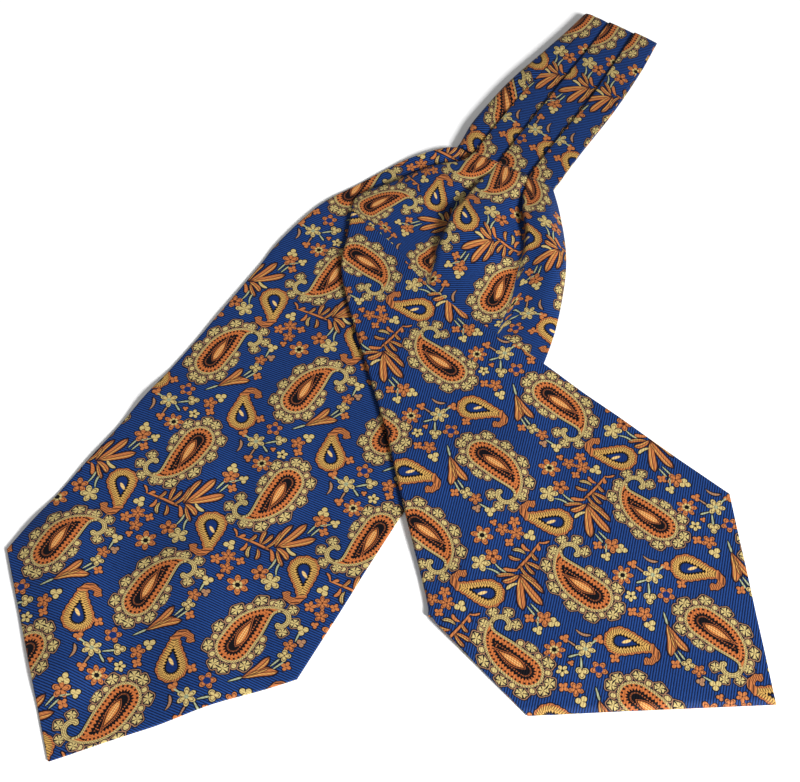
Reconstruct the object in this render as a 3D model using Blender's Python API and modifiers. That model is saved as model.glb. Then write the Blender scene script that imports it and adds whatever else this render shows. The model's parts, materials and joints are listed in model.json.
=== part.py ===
"""A pleated silk cravat, folded in half at the centre back and laid out on a table.

The neckband lies at the upper right, with knife pleats along it, its upper half on its lower
half. The under blade runs straight on from the lower half and lies on the table. The over blade
runs on from the upper half, where its pleats open, lies on the under blade, folds back on itself
along a slanting line and crosses to the lower right. Lengths are in metres, +Z is up, and the
table is the plane Z = 0. The object's middle is over the origin.
"""

import math
from collections import namedtuple

import bpy
import bmesh
import numpy as np

COLLECTION = "silk_cravat"

# The cloth: two layers of woven silk sewn together at their edges.
WALL = 0.0012
GAP = 0.0003
UNDER_HEIGHT = WALL / 2
OVER_HEIGHT = WALL + GAP + WALL / 2

# The neckband, from the seam where the pleats are stitched to the fold at the centre back.
BAND_SEAM_MIDDLE = (0.0690, 0.1154)
BAND_ANGLE = math.radians(57.8)
BAND_LENGTH = 0.1400
BAND_HEIGHT = 0.0062
BAND_NOSE = 0.0030
HALVES_GROOVE_DEPTH = 0.0011
HALVES_GROOVE_OPENING = 0.0004
PLEAT_OPENING = 0.00035
PLEAT_STEP = WALL + PLEAT_OPENING
CORNER_RADIUS = 0.0011
CORNER_CELLS = 3
LIP_CELLS = 4
PLEAT_FOOT = 0.0004
STRIP_SHARES = (0.25, 0.5, 0.75)
NOSE_DEGREES = (25, 45, 62, 76)

# The mouth of the groove between the halves: a slant from MOUTH_ROUND to MOUTH_DEPTH in from the
# edge, MOUTH_SLANT high.
MOUTH_ROUND = 0.0002
MOUTH_DEPTH = 0.0006
MOUTH_SLANT = 0.0004

# Widths are measured from the middle line; the lower half shows a little past the upper one.
# Line A is a whole pleat at the seam and fades to a crease, by depth_a.
BandRow = namedtuple("BandRow", "station left right lower_right line_a line_b line_c depth_a lap")
BAND_ROWS = (
    BandRow(0.0000, 0.0312, 0.0312, 0.0312, -0.0200, -0.0045, 0.0153, 1.00, 0.0050),
    BandRow(0.0090, 0.0328, 0.0314, 0.0312, -0.0204, -0.0048, 0.0150, 1.00, 0.0050),
    BandRow(0.0200, 0.0346, 0.0309, 0.0307, -0.0208, -0.0052, 0.0148, 1.00, 0.0050),
    BandRow(0.0400, 0.0346, 0.0305, 0.0304, -0.0210, -0.0055, 0.0149, 0.80, 0.0050),
    BandRow(0.0560, 0.0342, 0.0306, 0.0306, -0.0212, -0.0058, 0.0151, 0.30, 0.0050),
    BandRow(0.0720, 0.0327, 0.0303, 0.0306, -0.0206, -0.0062, 0.0149, 0.20, 0.0050),
    BandRow(0.0920, 0.0296, 0.0288, 0.0298, -0.0190, -0.0063, 0.0138, 0.20, 0.0050),
    BandRow(0.1180, 0.0262, 0.0265, 0.0278, -0.0170, -0.0066, 0.0118, 0.20, 0.0050),
    BandRow(0.1400, 0.0241, 0.0246, 0.0248, -0.0158, -0.0073, 0.0098, 0.20, 0.0040),
)
BAND_SPACING = 0.0065


def seam_point(across):
    """A place on the blades' side of the seam, measured across from the band's middle line."""
    back = -GAP
    x = BAND_SEAM_MIDDLE[0] + back * math.cos(BAND_ANGLE) + across * math.sin(BAND_ANGLE)
    y = BAND_SEAM_MIDDLE[1] + back * math.sin(BAND_ANGLE) - across * math.cos(BAND_ANGLE)
    return x, y


# Rows across a blade, each from its left end to its right end, with the cells to the next row.
# A sharp row has a corner of the cloth at that end.
Row = namedtuple("Row", "left right cells sharp_left sharp_right", defaults=(False, False))

UNDER_ROWS = (
    Row(seam_point(-0.0309), seam_point(0.0305), 1),
    Row((0.0323, 0.1306), (0.0955, 0.0885), 2),
    Row((0.0093, 0.1218), (0.0960, 0.0640), 2),
    Row((-0.0167, 0.1036), (0.0930, 0.0400), 1),
    Row((-0.0356, 0.0890), (0.0868, 0.0235), 2),
    Row((-0.0575, 0.0613), (0.0775, 0.0040), 2),
    Row((-0.0700, 0.0395), (0.0665, -0.0130), 4),
    Row((-0.1045, -0.0179), (0.0372, -0.0665), 9),
    Row((-0.1807, -0.1372), (-0.0380, -0.2072), 0, True, True),
)
UNDER_TIP = (-0.1476, -0.2480)
UNDER_COLUMNS = 16
TIP_CELLS = 8
TIP_END = 0.02

# Near the seam the under blade's left side rises to meet the end of the neckband.
UNDER_RISE = 0.0030
UNDER_RISE_LENGTH = 0.045
UNDER_RISE_SHARE = 0.22

# The over blade before its slanting fold. Its left ends run down the free edge to the corner
# where the fold starts, at FOLD_START, and from there along the fold.
OVER_ROWS = (
    Row(seam_point(-0.0200), seam_point(0.0311), 1),
    Row((0.0445, 0.1195), (0.0972, 0.0875), 1),
    Row((0.0320, 0.1176), (0.0986, 0.0765), 1),
    Row((0.0190, 0.1122), (0.0997, 0.0640), 1),
    Row((0.0050, 0.1045), (0.1001, 0.0510), 1),
    Row((-0.0090, 0.0985), (0.0990, 0.0360), 1),
    Row((-0.0158, 0.0925), (0.0960, 0.0180), 1),
    Row((-0.0180, 0.0830), (0.0915, -0.0020), 2, True),
    Row((-0.0200, 0.0630), (0.0868, -0.0170), 2),
    Row((-0.0228, 0.0420), (0.0812, -0.0320), 2),
    Row((-0.0180, 0.0120), (0.0723, -0.0550), 3),
    Row((-0.0062, -0.0354), (0.0595, -0.0875), 2),
    Row((0.0017, -0.0673), (0.0500, -0.1120), 3),
    Row((0.0105, -0.1120), (0.0380, -0.1425), 3),
    Row((0.0215, -0.1640), (0.0290, -0.1660), 1),
    Row((0.0224, -0.1745), (0.0264, -0.1742), 0, True),
)
FOLD_START = 7
STRIP_CELLS = 5
BEND_CELLS = 5

# How far the over blade's ends and the middle of its last strip stand above its own height, and
# how late each strip falls towards the next pleat: the rows from the seam down.
OVER_LEFT_RISE = (0.0034, 0.0028, 0.0020, 0.0014, 0.0010, 0.0006, 0.0003)
OVER_RIGHT_RISE = (0.0024, 0.0016, 0.0009, 0.0005, 0.0002)
OVER_PUFF = (0.0000, 0.0010, 0.0019, 0.0026, 0.0029, 0.0026, 0.0018, 0.0008)
LEFT_STRIP_PUFF = 0.45
OVER_FALL = (6.0, 4.0, 3.0, 2.5)
OVER_FALL_BELOW = 2.2

# The two pleats that open below the seam. Each row of the blade has where the fold's edge lies
# across it, how far the cloth turns at each bend, a bend's length and the lap between the bends.
Pleat = namedtuple("Pleat", "across turn bend lap")
PLEAT_B = (
    Pleat(0.300, 180, 0.0027, 0.0060),
    Pleat(0.300, 180, 0.0034, 0.0046),
    Pleat(0.352, 180, 0.0048, 0.0034),
    Pleat(0.380, 178, 0.0060, 0.0024),
    Pleat(0.405, 165, 0.0063, 0.0016),
    Pleat(0.420, 122, 0.0056, 0.0010),
    Pleat(0.404, 72, 0.0044, 0.0010),
    Pleat(0.390, 38, 0.0036, 0.0010),
    Pleat(0.388, 16, 0.0034, 0.0010),
    Pleat(0.380, 6, 0.0034, 0.0010),
)
PLEAT_C = (
    Pleat(0.685, 180, 0.0027, 0.0050),
    Pleat(0.665, 180, 0.0031, 0.0034),
    Pleat(0.690, 178, 0.0036, 0.0020),
    Pleat(0.728, 140, 0.0038, 0.0012),
    Pleat(0.755, 80, 0.0036, 0.0010),
    Pleat(0.762, 38, 0.0034, 0.0010),
    Pleat(0.762, 12, 0.0034, 0.0010),
    Pleat(0.760, 4, 0.0034, 0.0010),
)
FLAT_PLEAT_B = Pleat(0.380, 0, 0.0034, 0.0010)
FLAT_PLEAT_C = Pleat(0.740, 0, 0.0034, 0.0010)
PLEAT_SHARE = 0.05

# The over blade after the fold, from the fold's top corner down to its bottom edge. Its rows go
# on past the fold's lower end to the two corners of the pointed end.
FOLD_RADIUS = 0.00085
FOLD_CELLS = 5
CROSSING_ROWS = (
    Row((-0.0180, 0.0830), (-0.0142, 0.0778), 2),
    Row((-0.0200, 0.0630), (0.0060, 0.0560), 2),
    Row((-0.0228, 0.0420), (0.0200, 0.0320), 2),
    Row((-0.0180, 0.0120), (0.0440, 0.0080), 3),
    Row((-0.0062, -0.0354), (0.0905, -0.0305), 2),
    Row((0.0017, -0.0673), (0.1260, -0.0628), 3),
    Row((0.0105, -0.1120), (0.1722, -0.1050), 3, False, True),
    Row((0.0215, -0.1640), (0.1762, -0.1590), 1),
    Row((0.0224, -0.1745), (0.1772, -0.1730), 3, True),
    Row((0.0672, -0.2255), (0.1806, -0.2200), 0, True, True),
)
CROSSING_COLUMNS = 15
STEP_RUN = 0.028
STEP_START = 0.0008

# The crossing blade's free edge is lifted where it passes over the opening pleat.
EDGE_LIFT = 0.0016
EDGE_LIFT_PLACE = (0.0240, 0.0270)
EDGE_LIFT_REACH = 0.030

SILK_BLUE = (0.021, 0.082, 0.325, 1.0)
SILK_BLUE_SHADE = (0.014, 0.058, 0.240, 1.0)
SILK_BLUE_SHEEN = (0.028, 0.105, 0.390, 1.0)
SILK_ROUGHNESS = 0.42


def smoothstep(value):
    """0 below 0, 1 above 1, and a soft rise between."""
    value = np.clip(value, 0.0, 1.0)
    return value * value * (3 - 2 * value)


def side_normal(start, end):
    """The unit vector to the right of the way from start to end, in plan."""
    along = (np.array(end) - np.array(start)) / math.dist(start, end)
    return np.array((along[1], -along[0]))


def curve_piece(before, start, end, after, share):
    """A point on the smooth curve from start to end, between the points before and after."""
    square, cube = share * share, share * share * share
    return 0.5 * (
        2 * start
        + (end - before) * share
        + (2 * before - 5 * start + 4 * end - after) * square
        + (3 * start - before - 3 * end + after) * cube
    )


def smooth_ends(points, sharp, cells):
    """Points on a smooth curve through these ones, which turns a corner at each sharp one."""
    points = [np.array(point) for point in points]
    result = []
    for index, (start, end) in enumerate(zip(points, points[1:])):
        before = 2 * start - end
        if index > 0 and not sharp[index]:
            before = points[index - 1]
        after = 2 * end - start
        if index + 2 < len(points) and not sharp[index + 1]:
            after = points[index + 2]
        for step in range(cells[index]):
            result.append(curve_piece(before, start, end, after, step / cells[index]))
    result.append(points[-1])
    return np.array(result)


def row_ends(rows):
    """The left and the right end of each row of cells, and which row of the table starts each."""
    cells = [row.cells for row in rows]
    left = smooth_ends([row.left for row in rows], [row.sharp_left for row in rows], cells)
    right = smooth_ends([row.right for row in rows], [row.sharp_right for row in rows], cells)
    return left, right


def row_values(rows, values, last):
    """A value for each row of cells: the table's, straight between its rows, and last beyond it."""
    keys = np.concatenate(([0], np.cumsum([row.cells for row in rows[:-1]])))
    padded = list(values) + [last] * (len(rows) - len(values))
    return np.interp(np.arange(keys[-1] + 1), keys, padded)


def add_grid(mesh, points):
    """Vertices for a grid of points, as rows of columns, with the faces between them."""
    grid = [[mesh.verts.new(point) for point in row] for row in points]
    join_rows(mesh, grid)
    return grid


def join_rows(mesh, grid):
    for upper, lower in zip(grid, grid[1:]):
        for column in range(len(upper) - 1):
            corners = (upper[column], lower[column], lower[column + 1], upper[column + 1])
            mesh.faces.new(corners)


def add_object(name, mesh, color):
    """An object in the cravat's collection, shaded smooth, with its own silk material."""
    bmesh.ops.recalc_face_normals(mesh, faces=mesh.faces[:])
    data = bpy.data.meshes.new(name)
    mesh.to_mesh(data)
    mesh.free()
    data.shade_smooth()
    data.set_sharp_from_angle(angle=math.radians(50))
    material = bpy.data.materials.new(f"{name}_silk")
    material.use_nodes = True
    shader = material.node_tree.nodes["Principled BSDF"]
    shader.inputs["Base Color"].default_value = color
    shader.inputs["Roughness"].default_value = SILK_ROUGHNESS
    shader.inputs["Metallic"].default_value = 0.0
    data.materials.append(material)
    obj = bpy.data.objects.new(name, data)
    bpy.data.collections[COLLECTION].objects.link(obj)
    return obj


def add_wall(obj):
    """Thickens a sheet by half a wall to each side."""
    solidify = obj.modifiers.new("Wall", "SOLIDIFY")
    solidify.thickness = WALL
    solidify.offset = 0.0


def under_edge():
    """The straight part of the under blade's right edge, from its corner up."""
    return UNDER_ROWS[-1].right, UNDER_ROWS[-2].right


def past_under_blade(plan):
    """How far each point lies to the right of the under blade's right edge."""
    start, end = under_edge()
    return (plan - np.array(start)) @ side_normal(start, end)


def past_over_blade(plan):
    """How far each point lies to the right of the over blade's own right edge, below the fold."""
    start, end = OVER_ROWS[-1].right, OVER_ROWS[FOLD_START + 1].right
    return (plan - np.array(start)) @ side_normal(start, end)


def resting_height(plan):
    """The middle height of cloth that lies on the under blade, or past it on the table."""
    past = smoothstep((past_under_blade(plan) - STEP_START) / STEP_RUN)
    return OVER_HEIGHT + (UNDER_HEIGHT - OVER_HEIGHT) * past


def under_heights(left, right, share):
    """The under blade's middle heights along one row."""
    seam_left = np.array(UNDER_ROWS[0].left)
    along = np.linalg.norm(left - seam_left) / UNDER_RISE_LENGTH
    rise = UNDER_RISE * (1 - smoothstep(along))
    return UNDER_HEIGHT + rise * (1 - smoothstep(share / UNDER_RISE_SHARE))


def make_under_blade():
    left, right = row_ends(UNDER_ROWS)
    last_left, last_right, tip = left[-1], right[-1], np.array(UNDER_TIP)
    for step in range(1, TIP_CELLS + 1):
        part = min(step / TIP_CELLS, 1 - TIP_END)
        left = np.vstack((left, last_left + (tip - last_left) * part))
        right = np.vstack((right, last_right + (tip - last_right) * part))
    share = np.linspace(0, 1, UNDER_COLUMNS + 1)
    points = []
    for start, end in zip(left, right):
        plan = start + np.outer(share, end - start)
        points.append(np.column_stack((plan, under_heights(start, end, share))))
    mesh = bmesh.new()
    add_grid(mesh, points)
    add_wall(add_object("blade_under", mesh, SILK_BLUE))


def bend_steps(turn, length, back):
    """The angles and lengths of the cells of one bend, from level to turn or back to level."""
    angles = (np.arange(BEND_CELLS) + 0.5) / BEND_CELLS * turn
    return (angles[::-1] if back else angles), np.full(BEND_CELLS, length / BEND_CELLS)


def pleat_path(turn, bend, lap):
    """The points of a pleat's S shape from (0, 0): bend up and back, lap, and bend level again."""
    first, first_lengths = bend_steps(turn, bend, False)
    last, last_lengths = bend_steps(turn, bend, True)
    angles = np.concatenate((first, [turn], last))
    lengths = np.concatenate((first_lengths, [lap], last_lengths))
    x = np.concatenate(([0.0], np.cumsum(lengths * np.cos(angles))))
    z = np.concatenate(([0.0], np.cumsum(lengths * np.sin(angles))))
    return x, z


def over_section(length, rises, puff, fall, pleats):
    """Places and heights across one row of the over blade, left to right, above its own height."""
    places, heights = [], []
    start, start_height = 0.0, rises[0]
    strip_puffs = (puff * LEFT_STRIP_PUFF, 0.0)
    for pleat, strip_puff in zip(pleats, strip_puffs):
        size = min(1.0, PLEAT_SHARE * length / pleat.bend)
        path_x, path_z = pleat_path(math.radians(pleat.turn), pleat.bend * size, pleat.lap * size)
        low = pleat.across * length - min(path_x.min(), 0.0)
        strip = np.linspace(0, 1, STRIP_CELLS + 1)[:-1]
        places.extend(start + (low - start) * strip)
        mound = strip_puff * np.sin(math.pi * strip)
        heights.extend(start_height * (1 - smoothstep(strip**fall)) + mound)
        places.extend(low + path_x[:-1])
        heights.extend(path_z[:-1])
        start, start_height = low + path_x[-1], path_z[-1]
    strip = np.linspace(0, 1, STRIP_CELLS + 1)
    places.extend(start + (length - start) * strip)
    drop = (start_height - rises[1]) * smoothstep(strip ** (fall / 2))
    heights.extend(start_height - drop + puff * np.sin(math.pi * strip))
    return np.array(places), np.array(heights)


def pleat_rows(pleats, flat):
    """The pleat's values for each row of cells."""
    columns = [row_values(OVER_ROWS, column, last) for column, last in zip(zip(*pleats), flat)]
    return [Pleat(*values) for values in zip(*columns)]


def over_points(left, right):
    """The over blade before its fold, as rows of points."""
    left_rises = row_values(OVER_ROWS, OVER_LEFT_RISE, 0.0)
    right_rises = row_values(OVER_ROWS, OVER_RIGHT_RISE, 0.0)
    puffs = row_values(OVER_ROWS, OVER_PUFF, 0.0)
    falls = row_values(OVER_ROWS, OVER_FALL, OVER_FALL_BELOW)
    pleats = zip(pleat_rows(PLEAT_B, FLAT_PLEAT_B), pleat_rows(PLEAT_C, FLAT_PLEAT_C))
    rows = []
    shapes = zip(zip(left_rises, right_rises), puffs, falls, pleats)
    for start, end, shape in zip(left, right, shapes):
        length = np.linalg.norm(end - start)
        places, heights = over_section(length, *shape)
        plan = start + np.outer(places / length, end - start)
        rows.append(np.column_stack((plan, resting_height(plan) + heights)))
    return rows


def crossing_heights(plan):
    """The middle heights of the over blade past its fold: on itself, then down to the table."""
    on_itself = 1 - smoothstep((past_over_blade(plan) - STEP_START) / STEP_RUN)
    away = np.linalg.norm(plan - np.array(EDGE_LIFT_PLACE), axis=1) / EDGE_LIFT_REACH
    lift = EDGE_LIFT * (1 - smoothstep(away))
    return resting_height(plan) + 2 * FOLD_RADIUS * on_itself + lift


def fold_inward(left):
    """The unit vectors, in plan, from the fold's edge into the cloth at each row."""
    along = np.gradient(left, axis=0)
    along /= np.linalg.norm(along, axis=1)[:, None]
    return np.column_stack((-along[:, 1], along[:, 0]))


def make_over_blade():
    left, right = row_ends(OVER_ROWS)
    first_fold_row = sum(row.cells for row in OVER_ROWS[:FOLD_START])
    inward = fold_inward(left[first_fold_row:])
    inset = FOLD_RADIUS + WALL / 2
    edge = left[first_fold_row:].copy()
    left[first_fold_row:] += inward * inset
    before_fold = over_points(left, right)

    cross_left, cross_right = row_ends(CROSSING_ROWS)
    cross_left[: len(edge)] = left[first_fold_row:]
    share = np.linspace(0, 1, CROSSING_COLUMNS + 1)
    after_fold = []
    for start, end in zip(cross_left, cross_right):
        plan = start + np.outer(share, end - start)
        after_fold.append(np.column_stack((plan, crossing_heights(plan))))

    mesh = bmesh.new()
    first_grid = add_grid(mesh, before_fold)
    second_grid = add_grid(mesh, after_fold)
    turned = np.linspace(0, math.pi, FOLD_CELLS + 1)[1:-1]
    fold_grid = []
    for row, direction in enumerate(inward):
        start = first_grid[first_fold_row + row][0]
        end = second_grid[row][0]
        low, high = start.co.z, end.co.z
        verts = [start]
        for angle in turned:
            plan = edge[row] + direction * (inset - FOLD_RADIUS * math.sin(angle))
            height = low + (high - low) * (1 - math.cos(angle)) / 2
            verts.append(mesh.verts.new((*plan, height)))
        fold_grid.append(verts + [end])
    join_rows(mesh, fold_grid)
    add_wall(add_object("blade_over", mesh, SILK_BLUE_SHEEN))


def arc(center_x, center_z, radius, first, last, cells):
    """Points on an arc in a section, from the first angle to the last, in degrees."""
    angles = np.radians(np.linspace(first, last, cells + 1))
    return [(center_x + radius * math.cos(a), center_z + radius * math.sin(a)) for a in angles]


def halves_side(edge, lower_edge, sign):
    """One side of the band's section, going up: two rounded halves with a groove between them."""
    middle = BAND_HEIGHT / 2
    groove = HALVES_GROOVE_OPENING / 2
    bottom_of_groove = edge - sign * (MOUTH_DEPTH + HALVES_GROOVE_DEPTH)
    floor_turn = (-90, 0) if sign > 0 else (-90, -180)
    top_turn = (0, 90) if sign > 0 else (180, 90)
    lower_center = lower_edge - sign * CORNER_RADIUS
    points = arc(lower_center, CORNER_RADIUS, CORNER_RADIUS, *floor_turn, CORNER_CELLS)
    points.append((lower_edge - sign * MOUTH_ROUND, middle - groove - MOUTH_SLANT))
    points.append((lower_edge - sign * MOUTH_DEPTH, middle - groove))
    points.append((bottom_of_groove, middle - groove))
    points.append((bottom_of_groove, middle + groove))
    points.append((edge - sign * MOUTH_DEPTH, middle + groove))
    points.append((edge - sign * MOUTH_ROUND, middle + groove + MOUTH_SLANT))
    top = BAND_HEIGHT - PLEAT_STEP * (sign > 0)
    upper_center = edge - sign * CORNER_RADIUS
    points.extend(arc(upper_center, top - CORNER_RADIUS, CORNER_RADIUS, *top_turn, CORNER_CELLS))
    return points


def strip_rise(start, end):
    """The inner points of a strip of the band's top, from one end (place, height) to the other."""
    return [tuple(a + (b - a) * share for a, b in zip(start, end)) for share in STRIP_SHARES]


def pleat_lip(line, depth, lap):
    """A pleat's edge, going left: round its lip, in under it, back out, and on to its foot."""
    lip = WALL / 2 * depth
    low = BAND_HEIGHT - PLEAT_STEP * depth
    under = low + PLEAT_OPENING * depth
    inmost = line + lip + lap * depth
    points = arc(line + lip, under + lip, lip, 90, 270, LIP_CELLS)
    return points + [(inmost, under), (inmost, low), (line - PLEAT_FOOT, low)]


def band_section(row):
    """The closed outline of the band across its length, anticlockwise from the bottom left."""
    points = halves_side(row.right, row.lower_right, 1)
    pleats = ((row.line_c, 1.0), (row.line_b, 1.0), (row.line_a, row.depth_a))
    for line, depth in pleats:
        lip = pleat_lip(line, depth, row.lap)
        points.extend(strip_rise(points[-1], lip[0]))
        points.extend(lip)
    left = halves_side(-row.left, -row.left, -1)
    points.extend(strip_rise(points[-1], left[-1]))
    points.extend(reversed(left))
    return np.array(points)


def band_rows():
    """Rows of the band's table at even stations, and which share of the height each keeps."""
    table = np.array(BAND_ROWS)
    flat_end = BAND_LENGTH - BAND_NOSE
    count = round(flat_end / BAND_SPACING)
    stations = list(np.linspace(0, flat_end, count + 1))
    shares = [1.0] * len(stations)
    for degrees in NOSE_DEGREES:
        stations.append(flat_end + BAND_NOSE * math.sin(math.radians(degrees)))
        shares.append(math.cos(math.radians(degrees)))
    for station, share in zip(stations, shares):
        values = [np.interp(station, table[:, 0], column) for column in table.T[1:]]
        yield BandRow(station, *values), share


def make_neckband():
    along = np.array((math.cos(BAND_ANGLE), math.sin(BAND_ANGLE)))
    across = np.array((along[1], -along[0]))
    mesh = bmesh.new()
    rings = []
    for row, share in band_rows():
        ring = []
        for place, height in band_section(row):
            plan = np.array(BAND_SEAM_MIDDLE) + along * row.station + across * place
            middle = BAND_HEIGHT / 2
            ring.append(mesh.verts.new((*plan, middle + (height - middle) * share)))
        rings.append(ring)
    for near, far in zip(rings, rings[1:]):
        for index in range(len(near)):
            following = (index + 1) % len(near)
            mesh.faces.new((near[index], near[following], far[following], far[index]))
    mesh.faces.new(rings[0])
    mesh.faces.new(rings[-1])
    add_object("neckband", mesh, SILK_BLUE_SHADE)


def clear_scene():
    for obj in list(bpy.data.objects):
        bpy.data.objects.remove(obj, do_unlink=True)


def main():
    clear_scene()
    collection = bpy.data.collections.new(COLLECTION)
    bpy.context.scene.collection.children.link(collection)
    make_neckband()
    make_under_blade()
    make_over_blade()


main()
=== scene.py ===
"""The looks of the silk cravat: thin silk shells in the form of its solids, and their woven silk.

The shells repeat the named places of the solids, with finer rows and soft creases. Each shell
carries two maps of cloth coordinates in millimetres: Cloth, which the woven figures repeat on, and
Ribs, which the fine ribs of the ground run on. Lengths are in metres elsewhere.
"""

import json
import math
from collections import namedtuple

import bmesh
import bpy
import numpy as np
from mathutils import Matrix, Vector, noise

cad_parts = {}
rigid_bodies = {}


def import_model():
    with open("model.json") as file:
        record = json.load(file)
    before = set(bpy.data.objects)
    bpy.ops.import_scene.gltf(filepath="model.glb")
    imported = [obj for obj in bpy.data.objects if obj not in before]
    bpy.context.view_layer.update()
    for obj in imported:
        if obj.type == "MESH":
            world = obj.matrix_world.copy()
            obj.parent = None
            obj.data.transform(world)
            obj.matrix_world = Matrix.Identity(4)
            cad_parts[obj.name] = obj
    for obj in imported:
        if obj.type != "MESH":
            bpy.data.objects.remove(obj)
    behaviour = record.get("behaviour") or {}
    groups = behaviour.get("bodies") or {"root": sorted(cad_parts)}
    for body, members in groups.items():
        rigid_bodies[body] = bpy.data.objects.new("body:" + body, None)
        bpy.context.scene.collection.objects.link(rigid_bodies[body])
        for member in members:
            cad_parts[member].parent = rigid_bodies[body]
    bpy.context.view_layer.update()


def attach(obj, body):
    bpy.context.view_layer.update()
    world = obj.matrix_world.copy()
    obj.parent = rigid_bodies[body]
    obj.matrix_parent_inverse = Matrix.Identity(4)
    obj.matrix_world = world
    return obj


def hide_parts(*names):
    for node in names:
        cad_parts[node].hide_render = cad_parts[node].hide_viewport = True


# The photograph's camera: it looks down at the place of its middle.
IMAGE_WIDTH = 800
FOCAL_PIXELS = 1762
SENSOR_WIDTH = 36.0
CAMERA_TARGET = (0.0093, -0.0403, 0.0)
CAMERA_DISTANCE = 0.911
CAMERA_ELEVATION = math.radians(53)

# The solids' own sizes, which the shells keep to.
WALL = 0.0012
GAP = 0.0003
UNDER_HEIGHT = WALL / 2
OVER_HEIGHT = WALL + GAP + WALL / 2
BAND_SEAM_MIDDLE = (0.0690, 0.1154)
BAND_ANGLE = math.radians(57.8)
BAND_LENGTH = 0.1400
BAND_HEIGHT = 0.0062
BAND_NOSE = 0.0030

# The silk's own thickness, two woven layers, and how far its rounded edge reaches in.
SILK = 0.0010
EDGE_STEPS = (0.0, 0.00035, 0.0010)
EDGE_FULLNESS = (0.35, 0.85)


def seam_point(across):
    """A place on the blades' side of the seam, measured across from the band's middle line."""
    back = -GAP
    x = BAND_SEAM_MIDDLE[0] + back * math.cos(BAND_ANGLE) + across * math.sin(BAND_ANGLE)
    y = BAND_SEAM_MIDDLE[1] + back * math.sin(BAND_ANGLE) - across * math.cos(BAND_ANGLE)
    return x, y


# Rows across a blade, each from its left end to its right end, with the cells to the next row.
# A sharp row has a corner of the cloth at that end.
Row = namedtuple("Row", "left right cells sharp_left sharp_right", defaults=(False, False))

UNDER_ROWS = (
    Row(seam_point(-0.0309), seam_point(0.0305), 1),
    Row((0.0323, 0.1306), (0.0955, 0.0885), 2),
    Row((0.0093, 0.1218), (0.0960, 0.0640), 2),
    Row((-0.0167, 0.1036), (0.0930, 0.0400), 1),
    Row((-0.0356, 0.0890), (0.0868, 0.0235), 2),
    Row((-0.0575, 0.0613), (0.0775, 0.0040), 2),
    Row((-0.0700, 0.0395), (0.0665, -0.0130), 4),
    Row((-0.1045, -0.0179), (0.0372, -0.0665), 9),
    Row((-0.1807, -0.1372), (-0.0380, -0.2072), 0, True, True),
)
UNDER_TIP = (-0.1476, -0.2480)
UNDER_COLUMNS = 72
TIP_ROWS = 24
TIP_END = 0.004

# The under blade's left edge rises towards the seam: how high, over what length and share of width.
UNDER_RISE = 0.0030
UNDER_RISE_LENGTH = 0.045
UNDER_RISE_SHARE = 0.22

OVER_ROWS = (
    Row(seam_point(-0.0200), seam_point(0.0311), 1),
    Row((0.0445, 0.1195), (0.0972, 0.0875), 1),
    Row((0.0320, 0.1176), (0.0986, 0.0765), 1),
    Row((0.0190, 0.1122), (0.0997, 0.0640), 1),
    Row((0.0050, 0.1045), (0.1001, 0.0510), 1),
    Row((-0.0090, 0.0985), (0.0990, 0.0360), 1),
    Row((-0.0158, 0.0925), (0.0960, 0.0180), 1),
    Row((-0.0180, 0.0830), (0.0915, -0.0020), 2, True),
    Row((-0.0200, 0.0630), (0.0868, -0.0170), 2),
    Row((-0.0228, 0.0420), (0.0812, -0.0320), 2),
    Row((-0.0180, 0.0120), (0.0723, -0.0550), 3),
    Row((-0.0062, -0.0354), (0.0595, -0.0875), 2),
    Row((0.0017, -0.0673), (0.0500, -0.1120), 3),
    Row((0.0105, -0.1120), (0.0380, -0.1425), 3),
    Row((0.0215, -0.1640), (0.0290, -0.1660), 1),
    Row((0.0224, -0.1745), (0.0264, -0.1742), 0, True),
)
FOLD_START = 7
STRIP_CELLS = 13
BEND_CELLS = 8
ROW_DETAIL = 4

# What the pleats add to the over blade's height, row by row: at its left edge, at its right edge
# and in the mounds between them. The fall says how late each strip sinks to the level.
OVER_LEFT_RISE = (0.0034, 0.0028, 0.0020, 0.0014, 0.0010, 0.0006, 0.0003)
OVER_RIGHT_RISE = (0.0024, 0.0016, 0.0009, 0.0005, 0.0002)
OVER_PUFF = (0.0000, 0.0014, 0.0027, 0.0037, 0.0041, 0.0036, 0.0025, 0.0011)
LEFT_STRIP_PUFF = 0.45
RIGHT_STRIP_CREST = 1.6
OVER_FALL = (6.0, 4.0, 3.0, 2.5)
OVER_FALL_BELOW = 2.2

# The two pleats that open below the seam, as in the solid.
Pleat = namedtuple("Pleat", "across turn bend lap")
PLEAT_B = (
    Pleat(0.300, 180, 0.0027, 0.0060),
    Pleat(0.300, 180, 0.0034, 0.0046),
    Pleat(0.352, 180, 0.0048, 0.0034),
    Pleat(0.380, 178, 0.0060, 0.0024),
    Pleat(0.405, 165, 0.0063, 0.0016),
    Pleat(0.420, 122, 0.0056, 0.0010),
    Pleat(0.404, 72, 0.0044, 0.0010),
    Pleat(0.390, 38, 0.0036, 0.0010),
    Pleat(0.388, 16, 0.0034, 0.0010),
    Pleat(0.380, 6, 0.0034, 0.0010),
)
PLEAT_C = (
    Pleat(0.685, 180, 0.0027, 0.0050),
    Pleat(0.665, 180, 0.0031, 0.0034),
    Pleat(0.690, 178, 0.0036, 0.0020),
    Pleat(0.728, 140, 0.0038, 0.0012),
    Pleat(0.755, 80, 0.0036, 0.0010),
    Pleat(0.762, 38, 0.0034, 0.0010),
    Pleat(0.762, 12, 0.0034, 0.0010),
    Pleat(0.760, 4, 0.0034, 0.0010),
)
FLAT_PLEAT_B = Pleat(0.380, 0, 0.0034, 0.0010)
FLAT_PLEAT_C = Pleat(0.740, 0, 0.0034, 0.0010)
PLEAT_SHARE = 0.05

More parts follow.
